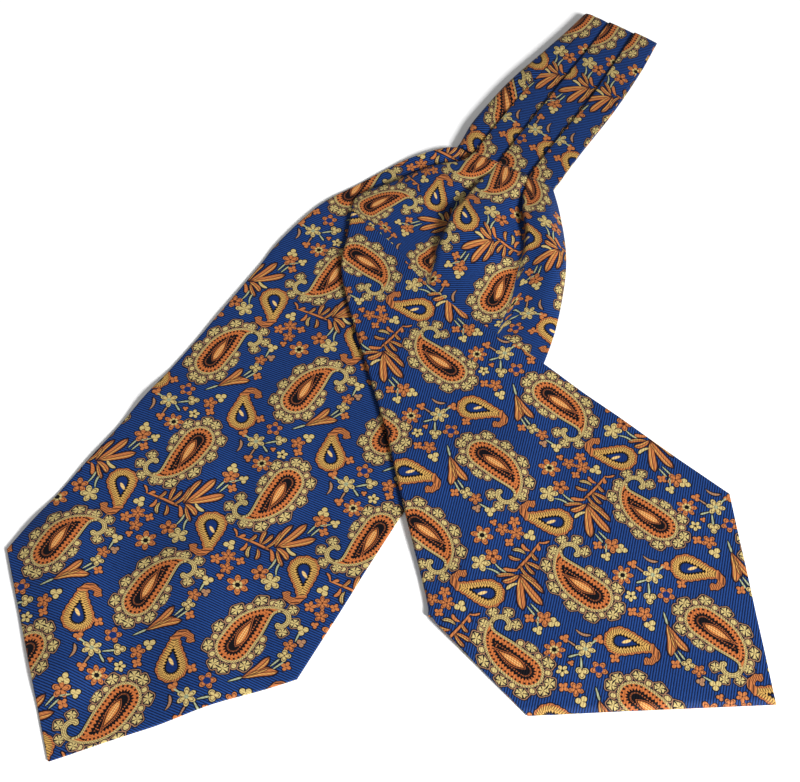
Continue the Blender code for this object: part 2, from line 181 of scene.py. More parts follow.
FOLD_RADIUS = 0.00085
FOLD_CELLS = 10
CROSSING_ROWS = (
    Row((-0.0180, 0.0830), (-0.0142, 0.0778), 2),
    Row((-0.0200, 0.0630), (0.0060, 0.0560), 2),
    Row((-0.0228, 0.0420), (0.0200, 0.0320), 2),
    Row((-0.0180, 0.0120), (0.0440, 0.0080), 3),
    Row((-0.0062, -0.0354), (0.0905, -0.0305), 2),
    Row((0.0017, -0.0673), (0.1260, -0.0628), 3),
    Row((0.0105, -0.1120), (0.1722, -0.1050), 3, False, True),
    Row((0.0215, -0.1640), (0.1762, -0.1590), 1),
    Row((0.0224, -0.1745), (0.1772, -0.1730), 3, True),
    Row((0.0672, -0.2255), (0.1806, -0.2200), 0, True, True),
)
CROSSING_COLUMNS = 72

# The way down past the edge of the cloth below, and the lift of the crossing part near one place.
STEP_RUN = 0.028
STEP_START = 0.0008
EDGE_LIFT = 0.0016
EDGE_LIFT_PLACE = (0.0240, 0.0270)
EDGE_LIFT_REACH = 0.030

# The weave, in millimetres: each repeat's width and length, and how far each row of them is moved.
REPEAT_ACROSS = 52.5
ROW_LENGTH = 137.3
ROW_SHIFT = -4.3

# The neckband, as in the solid: widths from its middle line, and the three lines of its pleats.
# Line A is a whole pleat at the seam and fades to a crease; open_a is the cloth it hides, in mm.
BandRow = namedtuple(
    "BandRow", "station left right lower_right line_a line_b line_c depth_a lap open_a"
)
BAND_ROWS = (
    BandRow(0.0000, 0.0312, 0.0312, 0.0312, -0.0200, -0.0045, 0.0153, 1.00, 0.0050, 36.0),
    BandRow(0.0090, 0.0328, 0.0314, 0.0312, -0.0204, -0.0048, 0.0150, 1.00, 0.0050, 34.0),
    BandRow(0.0200, 0.0346, 0.0309, 0.0307, -0.0208, -0.0052, 0.0148, 1.00, 0.0050, 31.0),
    BandRow(0.0400, 0.0346, 0.0305, 0.0304, -0.0210, -0.0055, 0.0149, 0.80, 0.0050, 26.0),
    BandRow(0.0560, 0.0342, 0.0306, 0.0306, -0.0212, -0.0058, 0.0151, 0.30, 0.0050, 15.0),
    BandRow(0.0720, 0.0327, 0.0303, 0.0306, -0.0206, -0.0062, 0.0149, 0.20, 0.0050, 4.0),
    BandRow(0.0920, 0.0296, 0.0288, 0.0298, -0.0190, -0.0063, 0.0138, 0.20, 0.0050, 0.1),
    BandRow(0.1180, 0.0262, 0.0265, 0.0278, -0.0170, -0.0066, 0.0118, 0.20, 0.0050, 0.1),
    BandRow(0.1400, 0.0241, 0.0246, 0.0248, -0.0158, -0.0073, 0.0098, 0.20, 0.0040, 0.1),
)
BAND_CELLS = 84
BAND_SOFTENING = (-0.005, -0.0025, 0.0, 0.0025, 0.005)
BAND_STRIP_CELLS = 8
SIDE_CELLS = 7
LIP_CELLS = 8
NOSE_DEGREES = (18, 36, 52, 66, 78, 86)
STRIP_PUFF = 0.0004
HALVES_OPENING = 0.0005
HALVES_DEPTH = 0.0045
PLEAT_STEP = 0.0016
PLEAT_OPENING = 0.0007
PLEAT_FOOT = 0.0002

# The band's cloth coordinates: at the right end of each pleat's strip, and at the seam.
BAND_RIGHT = 38.5
BAND_SLANT = 4.5 / 140
BAND_LAG = 0.5
BAND_START = 57.0
BAND_RIBS = 28

# Where the cloth coordinates of each face start: the place of one paisley, the way the cloth runs
# from the neckband towards its end, in degrees, and the turn of its ribs.
Lay = namedtuple("Lay", "place degrees ribs")
UNDER_LAY = Lay((-0.0526, -0.1063), -119.0 + 180, 4)
CROSSING_LAY = Lay((0.0961, -0.1563), -41.2, 28)


def smoothstep(value):
    """0 below 0, 1 above 1, and a soft rise between."""
    value = np.clip(value, 0.0, 1.0)
    return value * value * (3 - 2 * value)


def side_normal(start, end):
    """The unit vector to the right of the way from start to end, in plan."""
    along = (np.array(end) - np.array(start)) / math.dist(start, end)
    return np.array((along[1], -along[0]))


def curve_piece(before, start, end, after, share):
    """A point on the smooth curve from start to end, between the points before and after."""
    square, cube = share * share, share * share * share
    return 0.5 * (
        2 * start
        + (end - before) * share
        + (2 * before - 5 * start + 4 * end - after) * square
        + (3 * start - before - 3 * end + after) * cube
    )


def smooth_ends(points, sharp, cells):
    """Points on a smooth curve through these ones, which turns a corner at each sharp one."""
    points = [np.array(point) for point in points]
    result = []
    for index, (start, end) in enumerate(zip(points, points[1:])):
        before = 2 * start - end
        if index > 0 and not sharp[index]:
            before = points[index - 1]
        after = 2 * end - start
        if index + 2 < len(points) and not sharp[index + 1]:
            after = points[index + 2]
        for step in range(cells[index]):
            result.append(curve_piece(before, start, end, after, step / cells[index]))
    result.append(points[-1])
    return np.array(result)


def row_ends(rows):
    """The left and the right end of each fine row of cells."""
    cells = [row.cells * ROW_DETAIL for row in rows]
    left = smooth_ends([row.left for row in rows], [row.sharp_left for row in rows], cells)
    right = smooth_ends([row.right for row in rows], [row.sharp_right for row in rows], cells)
    return left, right


def row_values(rows, values, last):
    """A value for each fine row, on a soft line through the table's, and last beyond them."""
    cells = [row.cells * ROW_DETAIL for row in rows[:-1]]
    keys = np.concatenate(([0], np.cumsum(cells)))
    padded = list(values) + [last] * (len(rows) - len(values))
    straight = np.interp(np.arange(keys[-1] + 1), keys, padded)
    wide = np.pad(straight, ROW_DETAIL // 2, mode="edge")
    result = np.convolve(wide, np.ones(ROW_DETAIL + 1) / (ROW_DETAIL + 1), mode="valid")
    result[0] = straight[0]
    return result


def edge_shares(length, columns):
    """Shares of the way across a row, with two narrow cells at each end for the rounded edge."""
    steps = np.minimum(np.array(EDGE_STEPS) / max(length, 1e-6), (0, 0.12, 0.25))
    inner = np.linspace(steps[-1], 1 - steps[-1], columns - 3)
    return np.concatenate((steps[:-1], inner, 1 - steps[-2::-1]))


def past_under_blade(plan):
    """How far each point lies to the right of the under blade's right edge."""
    start, end = UNDER_ROWS[-1].right, UNDER_ROWS[-2].right
    return (plan - np.array(start)) @ side_normal(start, end)


def past_over_blade(plan):
    """How far each point lies to the right of the over blade's own right edge, below the fold."""
    start, end = OVER_ROWS[-1].right, OVER_ROWS[FOLD_START + 1].right
    return (plan - np.array(start)) @ side_normal(start, end)


# Soft ridges of the blades as they lie, from place to place, and their gentle unevenness.
Ridge = namedtuple("Ridge", "start end width height")
RIDGES = (
    Ridge((-0.1560, -0.1300), (-0.1430, -0.2000), 0.026, 0.0040),
    Ridge((-0.0930, -0.1500), (-0.0790, -0.2150), 0.032, 0.0034),
    Ridge((-0.1150, -0.0500), (-0.0900, -0.0900), 0.026, 0.0020),
    Ridge((-0.0500, -0.0500), (-0.0560, -0.1100), 0.024, 0.0016),
    Ridge((0.0620, -0.0900), (0.1150, -0.1500), 0.034, 0.0024),
    Ridge((0.1300, -0.0900), (0.1500, -0.1300), 0.022, 0.0012),
    Ridge((0.0450, -0.1500), (0.0850, -0.2000), 0.022, 0.0014),
)
UNEVEN_HEIGHT = 0.0016
UNEVEN_LENGTH = 0.034
UNEVEN_LEVEL = 0.4


def lie(plan):
    """How far the cloth lies above a level surface at each place, from its soft ridges."""
    heights = np.zeros(len(plan))
    for ridge in RIDGES:
        start, end = np.array(ridge.start), np.array(ridge.end)
        along = end - start
        share = np.clip((plan - start) @ along / (along @ along), 0.0, 1.0)
        away = np.linalg.norm(plan - start - np.outer(share, along), axis=1)
        heights += ridge.height * smoothstep(1 - away / ridge.width)
    places = [Vector((x / UNEVEN_LENGTH, y / UNEVEN_LENGTH, 0.0)) for x, y in plan]
    waves = np.array([noise.noise(place, noise_basis="PERLIN_NEW") for place in places])
    return heights + UNEVEN_HEIGHT * np.clip(waves * 0.5 + UNEVEN_LEVEL, 0.0, 1.0)


def resting_height(plan):
    """The middle height of cloth that lies on the under blade, or past it on the table."""
    past = smoothstep((past_under_blade(plan) - STEP_START) / STEP_RUN)
    return OVER_HEIGHT + (UNDER_HEIGHT - OVER_HEIGHT) * past + lie(plan)


def lay_axes(lay):
    """The unit vectors in plan along the cloth and across it."""
    angle = math.radians(lay.degrees)
    on = np.array((math.cos(angle), math.sin(angle)))
    return on, np.array((-on[1], on[0]))


def cloth_coordinates(plan, lay):
    """Cloth coordinates of places in plan, in millimetres: across, and on from the neckband."""
    on, across = lay_axes(lay)
    offset = (plan - np.array(lay.place)) * 1000
    return np.stack((offset @ across, offset @ on), axis=-1)


def object_of(name, mesh):
    """A new object in the scene, from a mesh under construction."""
    data = bpy.data.meshes.new(name)
    mesh.to_mesh(data)
    mesh.free()
    obj = bpy.data.objects.new(name, data)
    bpy.context.scene.collection.objects.link(obj)
    return obj


def at_corners(data, values):
    """The value of its vertex at each corner of each face."""
    corners = np.zeros(len(data.loops), int)
    data.loops.foreach_get("vertex_index", corners)
    return np.array(values)[corners]


def close_rings(mesh, rings):
    """Faces between rings of vertices that follow each other, and over both ends."""
    for first, second in zip(rings, rings[1:]):
        for index in range(len(first)):
            after = (index + 1) % len(first)
            mesh.faces.new((first[index], first[after], second[after], second[index]))
    mesh.faces.new(rings[0])
    mesh.faces.new(rings[-1])
    bmesh.ops.recalc_face_normals(mesh, faces=mesh.faces[:])


class Sheet:
    """A thin sheet under construction, with cloth coordinates for its upper and under face."""

    def __init__(self):
        self.mesh = bmesh.new()
        self.front, self.back, self.edge = [], [], []

    def add(self, point, front, back, fullness=1.0):
        self.front.append(front)
        self.back.append(back)
        self.edge.append(fullness)
        return self.mesh.verts.new(point)

    def add_grid(self, points, front, back, fullness):
        shape = points.shape[:2]
        values = (points, front, back)
        flat = [np.reshape(value, (-1, value.shape[-1])) for value in values]
        verts = [self.add(*row) for row in zip(*flat, np.ravel(fullness))]
        grid = [verts[row * shape[1] : (row + 1) * shape[1]] for row in range(shape[0])]
        self.join_rows(grid)
        return grid

    def join_rows(self, grid):
        for upper, lower in zip(grid, grid[1:]):
            for column in range(len(upper) - 1):
                self.mesh.faces.new(
                    (upper[column], lower[column], lower[column + 1], upper[column + 1])
                )

    def finish(self, name, thickness, rib_degrees):
        """A closed shell: this sheet thickened, thinner along its edges, with its two maps."""
        obj = object_of(name, self.mesh)
        data = obj.data
        for side, values in (("Front", self.front), ("Back", self.back)):
            layer = data.uv_layers.new(name=side)
            layer.data.foreach_set("uv", at_corners(data, values).ravel())
        group = obj.vertex_groups.new(name="Fullness")
        for index, fullness in enumerate(self.edge):
            group.add([index], float(fullness), "REPLACE")
        wall = obj.modifiers.new("Wall", "SOLIDIFY")
        wall.thickness = thickness
        wall.offset = 0.0
        wall.vertex_group = group.name
        # Stand-in materials mark the shell's front, back and rim, which choose_sides reads.
        wall.material_offset = 1
        wall.material_offset_rim = 2
        for index in range(3):
            data.materials.append(bpy.data.materials.new(f"side_{index}"))
        solid = bpy.data.meshes.new_from_object(
            obj.evaluated_get(bpy.context.evaluated_depsgraph_get())
        )
        obj.modifiers.clear()
        obj.data = solid
        obj.vertex_groups.clear()
        choose_sides(solid, rib_degrees)
        return obj


def add_maps(data, places, rib_degrees):
    """The map of cloth coordinates, and the same turned so that the ribs run along it."""
    angle = math.radians(rib_degrees)
    along = np.array((math.cos(angle), -math.sin(angle)))
    ribs = np.column_stack((places @ along, places @ (-along[1], along[0])))
    for name, values in (("Cloth", places), ("Ribs", ribs)):
        data.uv_layers.new(name=name).data.foreach_set("uv", values.ravel())


def choose_sides(data, rib_degrees):
    """Keeps one map of each face's own coordinates, and adds the ribs' map, turned from it."""
    sides = np.zeros(len(data.polygons), int)
    data.polygons.foreach_get("material_index", sides)
    totals = np.zeros(len(data.polygons), int)
    data.polygons.foreach_get("loop_total", totals)
    behind = np.repeat(sides == 1, totals)
    maps = []
    for side in ("Front", "Back"):
        values = np.zeros(len(data.loops) * 2)
        data.uv_layers[side].data.foreach_get("uv", values)
        maps.append(values.reshape(-1, 2))
    chosen = np.where(behind[:, None], maps[1], maps[0])
    data.uv_layers.remove(data.uv_layers["Back"])
    data.uv_layers.remove(data.uv_layers["Front"])
    add_maps(data, chosen, rib_degrees)
    for polygon in data.polygons:
        polygon.material_index = 0
    data.materials.clear()
    data.shade_smooth()


def under_heights(left, right, share):
    """The under blade's middle heights along one row."""
    seam_left = np.array(UNDER_ROWS[0].left)
    along = np.linalg.norm(left - seam_left) / UNDER_RISE_LENGTH
    rise = UNDER_RISE * (1 - smoothstep(along))
    return UNDER_HEIGHT + rise * (1 - smoothstep(share / UNDER_RISE_SHARE))


def grid_fullness(rows, columns, open_rows=(True, True)):
    """How thick the sheet is at each place of a grid, less along its sides and its open ends."""
    profile = np.ones(columns)
    profile[: len(EDGE_FULLNESS)] = EDGE_FULLNESS
    profile[-len(EDGE_FULLNESS) :] = EDGE_FULLNESS[::-1]
    fullness = np.tile(profile, (rows, 1))
    if open_rows[0]:
        fullness[0] = EDGE_FULLNESS[0]
    if open_rows[1]:
        fullness[-1] = EDGE_FULLNESS[0]
    return fullness


def make_under_blade():
    left, right = row_ends(UNDER_ROWS)
    last_left, last_right, tip = left[-1], right[-1], np.array(UNDER_TIP)
    for step in range(1, TIP_ROWS + 1):
        part = min(step / TIP_ROWS, 1 - TIP_END)
        left = np.vstack((left, last_left + (tip - last_left) * part))
        right = np.vstack((right, last_right + (tip - last_right) * part))
    points = []
    for start, end in zip(left, right):
        share = edge_shares(np.linalg.norm(end - start), UNDER_COLUMNS + 1)
        plan = start + np.outer(share, end - start)
        points.append(np.column_stack((plan, under_heights(start, end, share) + lie(plan))))
    points = np.array(points)
    front = cloth_coordinates(points[..., :2], UNDER_LAY)
    sheet = Sheet()
    sheet.add_grid(points, front, front * (-1, 1), grid_fullness(*points.shape[:2]))
    return sheet.finish("blade_under_silk", SILK, UNDER_LAY.ribs)


def bend_steps(turn, length, back):
    """The angles and lengths of the cells of one bend, from level to turn or back to level."""
    angles = (np.arange(BEND_CELLS) + 0.5) / BEND_CELLS * turn
    return (angles[::-1] if back else angles), np.full(BEND_CELLS, length / BEND_CELLS)


def pleat_path(turn, bend, lap):
    """The points of a pleat's S shape from (0, 0): bend up and back, lap, and bend level again."""
    first, first_lengths = bend_steps(turn, bend, False)
    last, last_lengths = bend_steps(turn, bend, True)
    angles = np.concatenate((first, [turn], last))
    lengths = np.concatenate((first_lengths, [lap], last_lengths))
    x = np.concatenate(([0.0], np.cumsum(lengths * np.cos(angles))))
    z = np.concatenate(([0.0], np.cumsum(lengths * np.sin(angles))))
    return x, z


def over_section(length, rises, puff, fall, pleats):
    """Places and heights across one row of the over blade, left to right, above its own height."""
    places, heights = [], []
    start, start_height = 0.0, rises[0]
    edge = np.array(EDGE_STEPS)
    strip_puffs = (puff * LEFT_STRIP_PUFF, 0.0)
    for index, (pleat, strip_puff) in enumerate(zip(pleats, strip_puffs)):
        size = min(1.0, PLEAT_SHARE * length / pleat.bend)
        path_x, path_z = pleat_path(math.radians(pleat.turn), pleat.bend * size, pleat.lap * size)
        low = pleat.across * length - min(path_x.min(), 0.0)
        shares = np.linspace(0, 1, STRIP_CELLS + 1)[:-1]
        if index == 0:
            shares = np.concatenate((np.minimum(edge[:2] / low, (0, 0.2)), shares[1:]))
            shares[1] = min(shares[1], shares[2] / 2)
        places.extend(start + (low - start) * shares)
        mound = strip_puff * np.sin(math.pi * shares)
        heights.extend(start_height * (1 - smoothstep(shares**fall)) + mound)
        places.extend(low + path_x[:-1])
        heights.extend(path_z[:-1])
        start, start_height = low + path_x[-1], path_z[-1]
    shares = np.linspace(0, 1, STRIP_CELLS + 1)
    last = 1 - min(edge[1] / (length - start), 0.25 / STRIP_CELLS)
    shares = np.concatenate((shares[:-1], [last, 1.0]))
    places.extend(start + (length - start) * shares)
    drop = (start_height - rises[1]) * smoothstep(shares ** (fall / 2))
    heights.extend(start_height - drop + puff * np.sin(math.pi * shares**RIGHT_STRIP_CREST))
    return np.array(places), np.array(heights)


def pleat_rows(pleats, flat):
    """The pleat's values for each fine row."""
    columns = [row_values(OVER_ROWS, column, last) for column, last in zip(zip(*pleats), flat)]
    return [Pleat(*values) for values in zip(*columns)]


def over_points(left, right):
    """The over blade before its fold, as rows of points."""
    left_rises = row_values(OVER_ROWS, OVER_LEFT_RISE, 0.0)
    right_rises = row_values(OVER_ROWS, OVER_RIGHT_RISE, 0.0)
    puffs = row_values(OVER_ROWS, OVER_PUFF, 0.0)
    falls = row_values(OVER_ROWS, OVER_FALL, OVER_FALL_BELOW)
    pleats = zip(pleat_rows(PLEAT_B, FLAT_PLEAT_B), pleat_rows(PLEAT_C, FLAT_PLEAT_C))
    rows = []
    shapes = zip(zip(left_rises, right_rises), puffs, falls, pleats)
    for start, end, shape in zip(left, right, shapes):
        length = np.linalg.norm(end - start)
        places, heights = over_section(length, *shape)
        plan = start + np.outer(places / length, end - start)
        rows.append(np.column_stack((plan, resting_height(plan) + heights)))
    return np.array(rows)


def crossing_heights(plan):
    """The middle heights of the over blade past its fold: on itself, then down to the table."""
    on_itself = 1 - smoothstep((past_over_blade(plan) - STEP_START) / STEP_RUN)
    away = np.linalg.norm(plan - np.array(EDGE_LIFT_PLACE), axis=1) / EDGE_LIFT_REACH
    lift = EDGE_LIFT * (1 - smoothstep(away))
    return resting_height(plan) + 2 * FOLD_RADIUS * on_itself + lift


def fold_inward(left):
    """The unit vectors, in plan, from the fold's edge into the cloth at each row."""
    along = np.gradient(left, axis=0)
    along /= np.linalg.norm(along, axis=1)[:, None]
    return np.column_stack((-along[:, 1], along[:, 0]))


# The cloth, in millimetres, that each pleat of the shoulder hides beyond its built lap, by rows,
# and how far the cloth runs on for each millimetre seen in the left, the middle and right strip.
HIDDEN_B = (21.3, 20.0, 19.0, 18.0, 17.0, 16.0, 13.0, 9.0, 5.0, 2.0)
HIDDEN_C = (26.3, 22.0, 18.0, 15.0, 13.0, 11.0, 9.0, 6.0, 3.0, 1.0)
SHOULDER_STRETCH = (1.22, 0.97, 1.13)


def shoulder_coordinates(points):
    """Cloth coordinates on the upper face before the fold: across from its right edge, and on."""
    steps = np.linalg.norm(np.diff(points, axis=1), axis=2) * 1000
    arcs = np.concatenate((np.zeros((len(points), 1)), np.cumsum(steps, axis=1)), axis=1)
    columns = points.shape[1]
    places = np.arange(columns)
    lap_b = STRIP_CELLS + 1 + BEND_CELLS
    lap_c = lap_b + STRIP_CELLS + 2 * BEND_CELLS + 1
    left_of_b = (places <= lap_b).astype(float)
    left_of_c = (places <= lap_c).astype(float)
    hidden = np.outer(row_values(OVER_ROWS, HIDDEN_B, 0.0), left_of_b)
    hidden += np.outer(row_values(OVER_ROWS, HIDDEN_C, 0.0), left_of_c)
    across = BAND_RIGHT + arcs - arcs[:, -1:] - hidden
    left, middle, right = SHOULDER_STRETCH
    stretch = np.interp(places, (0, lap_b, lap_c, columns - 1), (left, middle, middle, right))
    down = np.linalg.norm(np.diff(points, axis=0), axis=2) * 1000 * stretch
    on = np.concatenate((np.zeros((1, columns)), np.cumsum(down, axis=0)), axis=0)
    return np.stack((across, on + BAND_START), axis=2)


def make_over_blade():
    left, right = row_ends(OVER_ROWS)
    first_fold_row = sum(row.cells for row in OVER_ROWS[:FOLD_START]) * ROW_DETAIL
    inward = fold_inward(left[first_fold_row:])
    inset = FOLD_RADIUS + WALL / 2
    edge = left[first_fold_row:].copy()
    left[first_fold_row:] += inward * inset
    before = over_points(left, right)

    cross_left, cross_right = row_ends(CROSSING_ROWS)
    cross_left[: len(edge)] = left[first_fold_row:]
    after = []
    for row, (start, end) in enumerate(zip(cross_left, cross_right)):
        share = edge_shares(np.linalg.norm(end - start), CROSSING_COLUMNS + 1)
        plan = start + np.outer(share, end - start)
        after.append(np.column_stack((plan, crossing_heights(plan))))
    after = np.array(after)

    front = shoulder_coordinates(before)
    back = cloth_coordinates(before[..., :2], UNDER_LAY) * (-1, 1)
    fullness = grid_fullness(*before.shape[:2], open_rows=(False, False))
    fullness[0] = EDGE_FULLNESS[1]
    fullness[first_fold_row:, : len(EDGE_FULLNESS)] = 1.0
    sheet = Sheet()
    first_grid = sheet.add_grid(before, front, back, fullness)

    top = cloth_coordinates(after[..., :2], CROSSING_LAY)
    fullness = grid_fullness(*after.shape[:2])
    fullness[: len(edge), : len(EDGE_FULLNESS)] = 1.0
    fullness[0] = 1.0
    second_grid = sheet.add_grid(after, top * (-1, 1), top, fullness)

    turns = np.linspace(0, math.pi, FOLD_CELLS + 1)[1:-1]
    on, across = lay_axes(CROSSING_LAY)
    fold_grid = []
    for row, into in enumerate(inward):
        start, end = first_grid[first_fold_row + row][0], second_grid[row][0]
        low, high = start.co.z, end.co.z
        radius = (high - low) / 2 + SILK / 2
        verts = [start]
        for turn in turns:
            plan = edge[row] + into * (inset - FOLD_RADIUS * math.sin(turn))
            height = low + (high - low) * (1 - math.cos(turn)) / 2
            unrolled = -into * (math.pi - turn) * radius * 1000
            place = top[row, 0] + np.array((unrolled @ across, unrolled @ on))
            verts.append(sheet.add((*plan, height), place * (-1, 1), place))
        fold_grid.append(verts + [end])
    sheet.join_rows(fold_grid)
    bmesh.ops.recalc_face_normals(sheet.mesh, faces=sheet.mesh.faces[:])
    sheet.mesh.faces.ensure_lookup_table()
    if sheet.mesh.faces[0].normal.z < 0:
        bmesh.ops.reverse_faces(sheet.mesh, faces=sheet.mesh.faces[:])
    return sheet.finish("blade_over_silk", SILK, CROSSING_LAY.ribs)


def arc(center_x, center_z, radius, first, last, cells):
    """Points on an arc in a section, from the first angle to the last, in degrees."""
    angles = np.radians(np.linspace(first, last, cells + 1))
    return [(center_x + radius * math.cos(a), center_z + radius * math.sin(a)) for a in angles]


def halves_side(edge, lower_edge, sign):
    """One side of the band's section, going up: the rounded lower half, and the upper half."""
    middle, opening = BAND_HEIGHT / 2, HALVES_OPENING / 2
    radius = middle - opening
    inmost = edge - sign * HALVES_DEPTH
    floor_turn, top_turn = ((-90, 20), (-20, 90)) if sign > 0 else ((-90, -200), (200, 90))
    center = lower_edge - sign * radius
    lower_half = arc(center, radius, radius, *floor_turn, SIDE_CELLS)
    lower_half.append((inmost, middle - opening))
    top = BAND_HEIGHT - PLEAT_STEP * (sign > 0)
    radius = (top - middle - opening) / 2 if sign > 0 else radius
    center = edge - sign * radius
    upper_half = [(inmost, middle + opening)]
    upper_half.extend(arc(center, top - radius, radius, *top_turn, SIDE_CELLS))
    return lower_half, upper_half


def strip(start, end, puff):
    """The inner points of a pleat's strip from start to end, a little domed between them."""
    shares = np.linspace(0, 1, BAND_STRIP_CELLS + 1)[1:-1]
    start, end = np.array(start), np.array(end)
    points = start + np.outer(shares, end - start)
    points[:, 1] += puff * np.sin(math.pi * shares)
    return [tuple(point) for point in points]


def pleat_lip(line, depth, lap):
    """A pleat's edge, going left: round its lip, in under it, back out, and on to its foot."""
    lip = WALL / 2 * depth
    low = BAND_HEIGHT - PLEAT_STEP * depth
    under = low + PLEAT_OPENING * depth
    inmost = line + lip + lap * depth
    over = arc(line + lip, under + lip, lip, 90, 270, LIP_CELLS) + [(inmost, under)]
    return over, [(inmost, low), (line - PLEAT_FOOT, low)]


def band_section(row):
    """Points round the band, anticlockwise from the bottom left, each with its width's place.

    The third value counts the cloth across, in millimetres, with what the pleats hide left out:
    the woven figures start again at each pleat's foot. The fourth is how far the cloth left of
    line A lags behind the rest.
    """
    lower_half, upper_half = halves_side(row.right, row.lower_right, 1)
    points = [(x, z, BAND_RIGHT + (x - row.right) * 1000, 0.0) for x, z in lower_half]
    border, border_place = row.right, BAND_RIGHT
    current = upper_half
    pleats = ((row.line_c, 1.0, 0.0), (row.line_b, 1.0, 0.0), (row.line_a, row.depth_a, row.open_a))
    for line, depth, shown in pleats:
        over, foot = pleat_lip(line, depth, row.lap)
        current = current + strip(current[-1], over[0], STRIP_PUFF) + over
        points.extend((x, z, border_place + (x - border) * 1000, 0.0) for x, z in current)
        border_place = BAND_RIGHT if shown == 0.0 else border_place + (line - border) * 1000 - shown
        border, current = line, foot
    lower_half, upper_half = halves_side(-row.left, -row.left, -1)
    current = current + strip(current[-1], upper_half[-1], STRIP_PUFF) + upper_half[::-1]
    lag = row.open_a * BAND_LAG
    points.extend((x, z, border_place + (x - border) * 1000, lag) for x, z in current)
    points.extend((x, z, BAND_RIGHT + (x - row.right) * 1000, 0.0) for x, z in lower_half[::-1])
    return np.array(points)


def band_rows():
    """Fine rows of the band, and which share of the height each keeps at the rounded end."""
    flat_end = BAND_LENGTH - BAND_NOSE
    stations = list(np.linspace(0, flat_end, BAND_CELLS + 1))
    shares = [1.0] * len(stations)
    for degrees in NOSE_DEGREES:
        stations.append(flat_end + BAND_NOSE * math.sin(math.radians(degrees)))
        shares.append(math.cos(math.radians(degrees)))
    keys = np.array([row.station for row in BAND_ROWS])
    for station, share in zip(stations, shares):
        around = station + np.array(BAND_SOFTENING)
        values = [np.interp(around, keys, column).mean() for column in list(zip(*BAND_ROWS))[1:]]
        yield BandRow(station, *values), share


def make_neckband():
    along = np.array((math.cos(BAND_ANGLE), math.sin(BAND_ANGLE)))
    across = np.array((along[1], -along[0]))
    mesh = bmesh.new()
    rings, places = [], []
    for row, share in band_rows():
        ring = []
        section = band_section(row)
        lower_points = len(halves_side(1.0, 1.0, 1)[0])
        for index, (place, height, cloth, lag) in enumerate(section):
            plan = np.array(BAND_SEAM_MIDDLE) + along * row.station + across * place
            middle = BAND_HEIGHT / 2
            ring.append(mesh.verts.new((*plan, middle + (height - middle) * share)))
            on = BAND_START - row.station * 1000 - lag
            if index < lower_points or index >= len(section) - lower_points:
                on = BAND_START - (2 * BAND_LENGTH - row.station) * 1000
            places.append((cloth + row.station * 1000 * BAND_SLANT, on))
        rings.append(ring)
    close_rings(mesh, rings)
    obj = object_of("neckband_silk", mesh)
    add_maps(obj.data, at_corners(obj.data, places), BAND_RIBS)
    obj.data.shade_smooth()
    return obj


class Value:
    """A number in a material's node tree, which sums and products add nodes for."""

    def __init__(self, socket):
        self.socket = socket

    def __add__(self, other):
        return math_node("ADD", self, other)

    def __sub__(self, other):
        return math_node("SUBTRACT", self, other)

    def __rsub__(self, other):
        return math_node("SUBTRACT", other, self)

    def __mul__(self, other):
        return math_node("MULTIPLY", self, other)


def connect(tree, value, socket):
    if isinstance(value, Value):
        tree.links.new(value.socket, socket)
    else:
        socket.default_value = value


def tree_of(values):
    return next(value.socket.id_data for value in values if isinstance(value, Value))


def math_node(operation, *values):
    tree = tree_of(values)
    node = tree.nodes.new("ShaderNodeMath")
    node.operation = operation
    for value, socket in zip(values, node.inputs):
        connect(tree, value, socket)
    return Value(node.outputs[0])


def madd(value, factor, extra):
    return math_node("MULTIPLY_ADD", value, factor, extra)


def wrap(value, period):
    """The value moved by whole periods to lie around 0."""
    return math_node("WRAP", value, period / 2, -period / 2)


def higher(first, second):
    return math_node("MAXIMUM", first, second)


def lower(first, second):
    return math_node("MINIMUM", first, second)


def above(first, second):
    """1 where first is more than second, and 0 elsewhere."""
    return math_node("GREATER_THAN", first, second)


def absolute(value):
    return math_node("ABSOLUTE", value)


def cosine(value):
    return math_node("COSINE", value)


def direction(y, x):
    """The angle of (x, y), in radians."""
    return math_node("ARCTAN2", y, x)


def hypot(x, y):
    """The distance of (x, y) from (0, 0)."""
    tree = tree_of((x, y))
    joined = tree.nodes.new("ShaderNodeCombineXYZ")
    connect(tree, x, joined.inputs[0])
    connect(tree, y, joined.inputs[1])
    node = tree.nodes.new("ShaderNodeVectorMath")
    node.operation = "LENGTH"
    tree.links.new(joined.outputs[0], node.inputs[0])
    return Value(node.outputs["Value"])


def soft(value, low, high):
    """A soft step from 0 at low to 1 at high."""
    tree = tree_of((value,))
    node = tree.nodes.new("ShaderNodeMapRange")
    node.interpolation_type = "SMOOTHSTEP"
    connect(tree, value, node.inputs["Value"])
    node.inputs["From Min"].default_value = low
    node.inputs["From Max"].default_value = high
    return Value(node.outputs["Result"])


# Figures of the weave, in millimetres from the middle of a large paisley: across, and on.
Leaf = namedtuple("Leaf", "start end width bend color", defaults=("orange",))
Bloom = namedtuple(
    "Bloom", "place radius petals color turn heart ring", defaults=("orange", 0, None, None)
)
Group = namedtuple("Group", "place leaves blooms")
BIG_PAISLEYS = ((0, 0), (18.8, 64.5))
SMALL_PAISLEYS = ((16, -31), (-11, 34))
BIG_REACH = 33.0
SMALL_REACH = 32.0
PETAL_ROOT = 0.46
PETAL_LOBE = 0.56
PETAL_GAP = 1.6
WIDE_BLOOM = 2.7
WIDE_LEAF = 2.0
LEAF_GLINT = 0.22
LEAF_HALF = 0.36
STEM_HALF = 0.42

